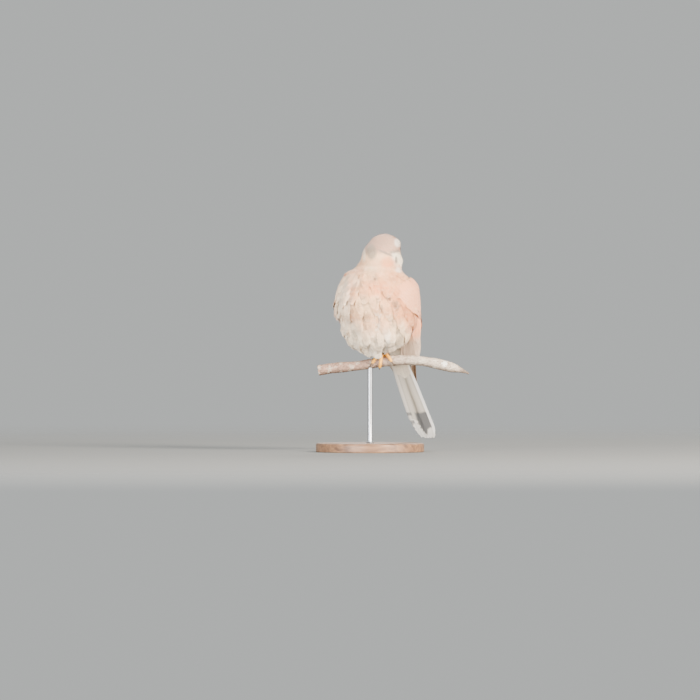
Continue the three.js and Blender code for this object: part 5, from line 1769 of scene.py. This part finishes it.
def make_floor():
    """A wide pale matt floor that passes softly into the backdrop's own tone far from the stand."""
    select_none()
    bpy.ops.mesh.primitive_circle_add(vertices=96, radius=0.5, fill_type="NGON")
    floor = bpy.context.object
    floor.name = floor.data.name = "floor"
    bpy.ops.object.mode_set(mode="EDIT")
    bpy.ops.mesh.select_all(action="SELECT")
    bpy.ops.mesh.inset(thickness=0.2)
    bpy.ops.mesh.select_all(action="SELECT")
    bpy.ops.transform.resize(value=(16, 16, 1))
    bpy.ops.object.mode_set(mode="OBJECT")
    material, add = new_material("studio floor, matt")
    far = add("VectorMath", [add("TexCoord", out="Object")], "Value", operation="LENGTH")
    away = add("MapRange", [far, *FLOOR_FADE, 0, 1], interpolation_type="SMOOTHSTEP")
    matt = add("BsdfPrincipled", {"Base Color": rgba("#808281"), "Roughness": 0.95, "Specular IOR Level": 0.1})
    add("OutputMaterial", [add("MixShader", [away, matt, add("BsdfTransparent")])])
    floor.data.materials.append(material)


# Round soft lights that face the model: where each is in metres, how wide, its watts and its colour
LIGHTS = {
    "key": ((2.2, -2.8, 1.6), 1.4, 490, (1.0, 0.9, 0.79)),
    "fill": ((-1.9, -3.0, 0.5), 2.4, 290, (0.97, 0.97, 1.0)),
    "low": ((2.6, -1.6, 0.15), 1.8, 110, (1.0, 0.93, 0.86)),
    "front": ((-0.3, -2.6, 0.05), 1.8, 65, (1.0, 0.95, 0.88)),
    "back": ((0.4, 2.8, 2.2), 2.0, 90, (1.0, 0.97, 0.93)),
}
LIT_HEIGHT = 0.18
# How far off the camera stands, in metres, and how steeply it looks down
CAMERA_FAR, CAMERA_RISE = 14.0, math.radians(0.6)
SENSOR = 36


def placed(name, data, place, aim):
    """A lamp or a camera at a place, turned to face another."""
    thing = bpy.data.objects.new(name, data)
    bpy.context.scene.collection.objects.link(thing)
    thing.location = place
    thing.rotation_euler = (Vector(aim) - Vector(place)).to_track_quat("-Z", "Y").to_euler()
    return thing


def make_studio():
    """A plain pale backdrop, soft lights, and the camera at the photograph's own angle and scale."""
    world = bpy.data.worlds.new("studio")
    world.use_nodes = True
    background = world.node_tree.nodes["Background"]
    background.inputs["Color"].default_value = BACKDROP
    background.inputs["Strength"].default_value = 0.97
    bpy.context.scene.world = world
    for name, (place, size, power, colour) in LIGHTS.items():
        light = bpy.data.lights.new(name, "AREA")
        light.shape = "DISK"
        light.size = size
        light.energy = power
        light.color = colour
        lamp = placed(name, light, place, (0, 0, LIT_HEIGHT))
        # No shiny surface mirrors the front light
        lamp.visible_glossy = name != "front"
    middle_x, middle_z = photo_point(PHOTO_PIXELS / 2, PHOTO_PIXELS / 2)
    aim = Vector((middle_x, 0, middle_z)) * MM
    camera = bpy.data.cameras.new("camera")
    camera.sensor_width = SENSOR
    camera.lens = SENSOR * CAMERA_FAR / (PHOTO_PIXELS * PIXEL * MM)
    back_off = Vector((0, -math.cos(CAMERA_RISE), math.sin(CAMERA_RISE))) * CAMERA_FAR
    bpy.context.scene.camera = placed("camera", camera, aim + back_off, aim)


def main():
    plumage = feather_material("contour feather, matt")
    covert = feather_material("spotted covert, matt", 0.34, 0.1, 0.3, 0.14, 0.12)
    # Scaly skin, dry and slightly waxy, with a pebbled grain of 0.6 mm between its plates
    foot_skin = grained_material("scaly foot skin", 0.5, 1800, 0.2, 0.5, 0.08)
    # Horn polished by use: a tight gloss, with a faint mottle of 1.4 mm
    horn = grained_material("polished horn", 0.28, 700, 0.1, 0.5, 0.05, 0.3)
    # Weathered bark, rough and dull all over, with crumbs of 2.4 mm
    bark = grained_material("bark, dry", 0.95, 420, 0.8, 0.2, 0.2)
    bare = skin_material()
    make_skin(bare)
    make_coat(plumage)
    flank_curtain(plumage)
    flight = flight_material()
    for side in (1, -1):
        make_wing(side, flight, covert, bare)
    make_tail(tail_material(), plumage)
    glossy = eye_material()
    for name, (centre, way) in EYES.items():
        make_eye(name, centre, way, glossy)
        make_lids(name, centre, way, foot_skin)
    make_bill(horn)
    make_standing_foot(foot_skin, horn)
    make_tucked_foot(foot_skin, horn)
    make_perch(bark)
    make_stand(wood_material(), steel_material())
    make_floor()
    make_studio()


main()
bpy.context.view_layer.update()
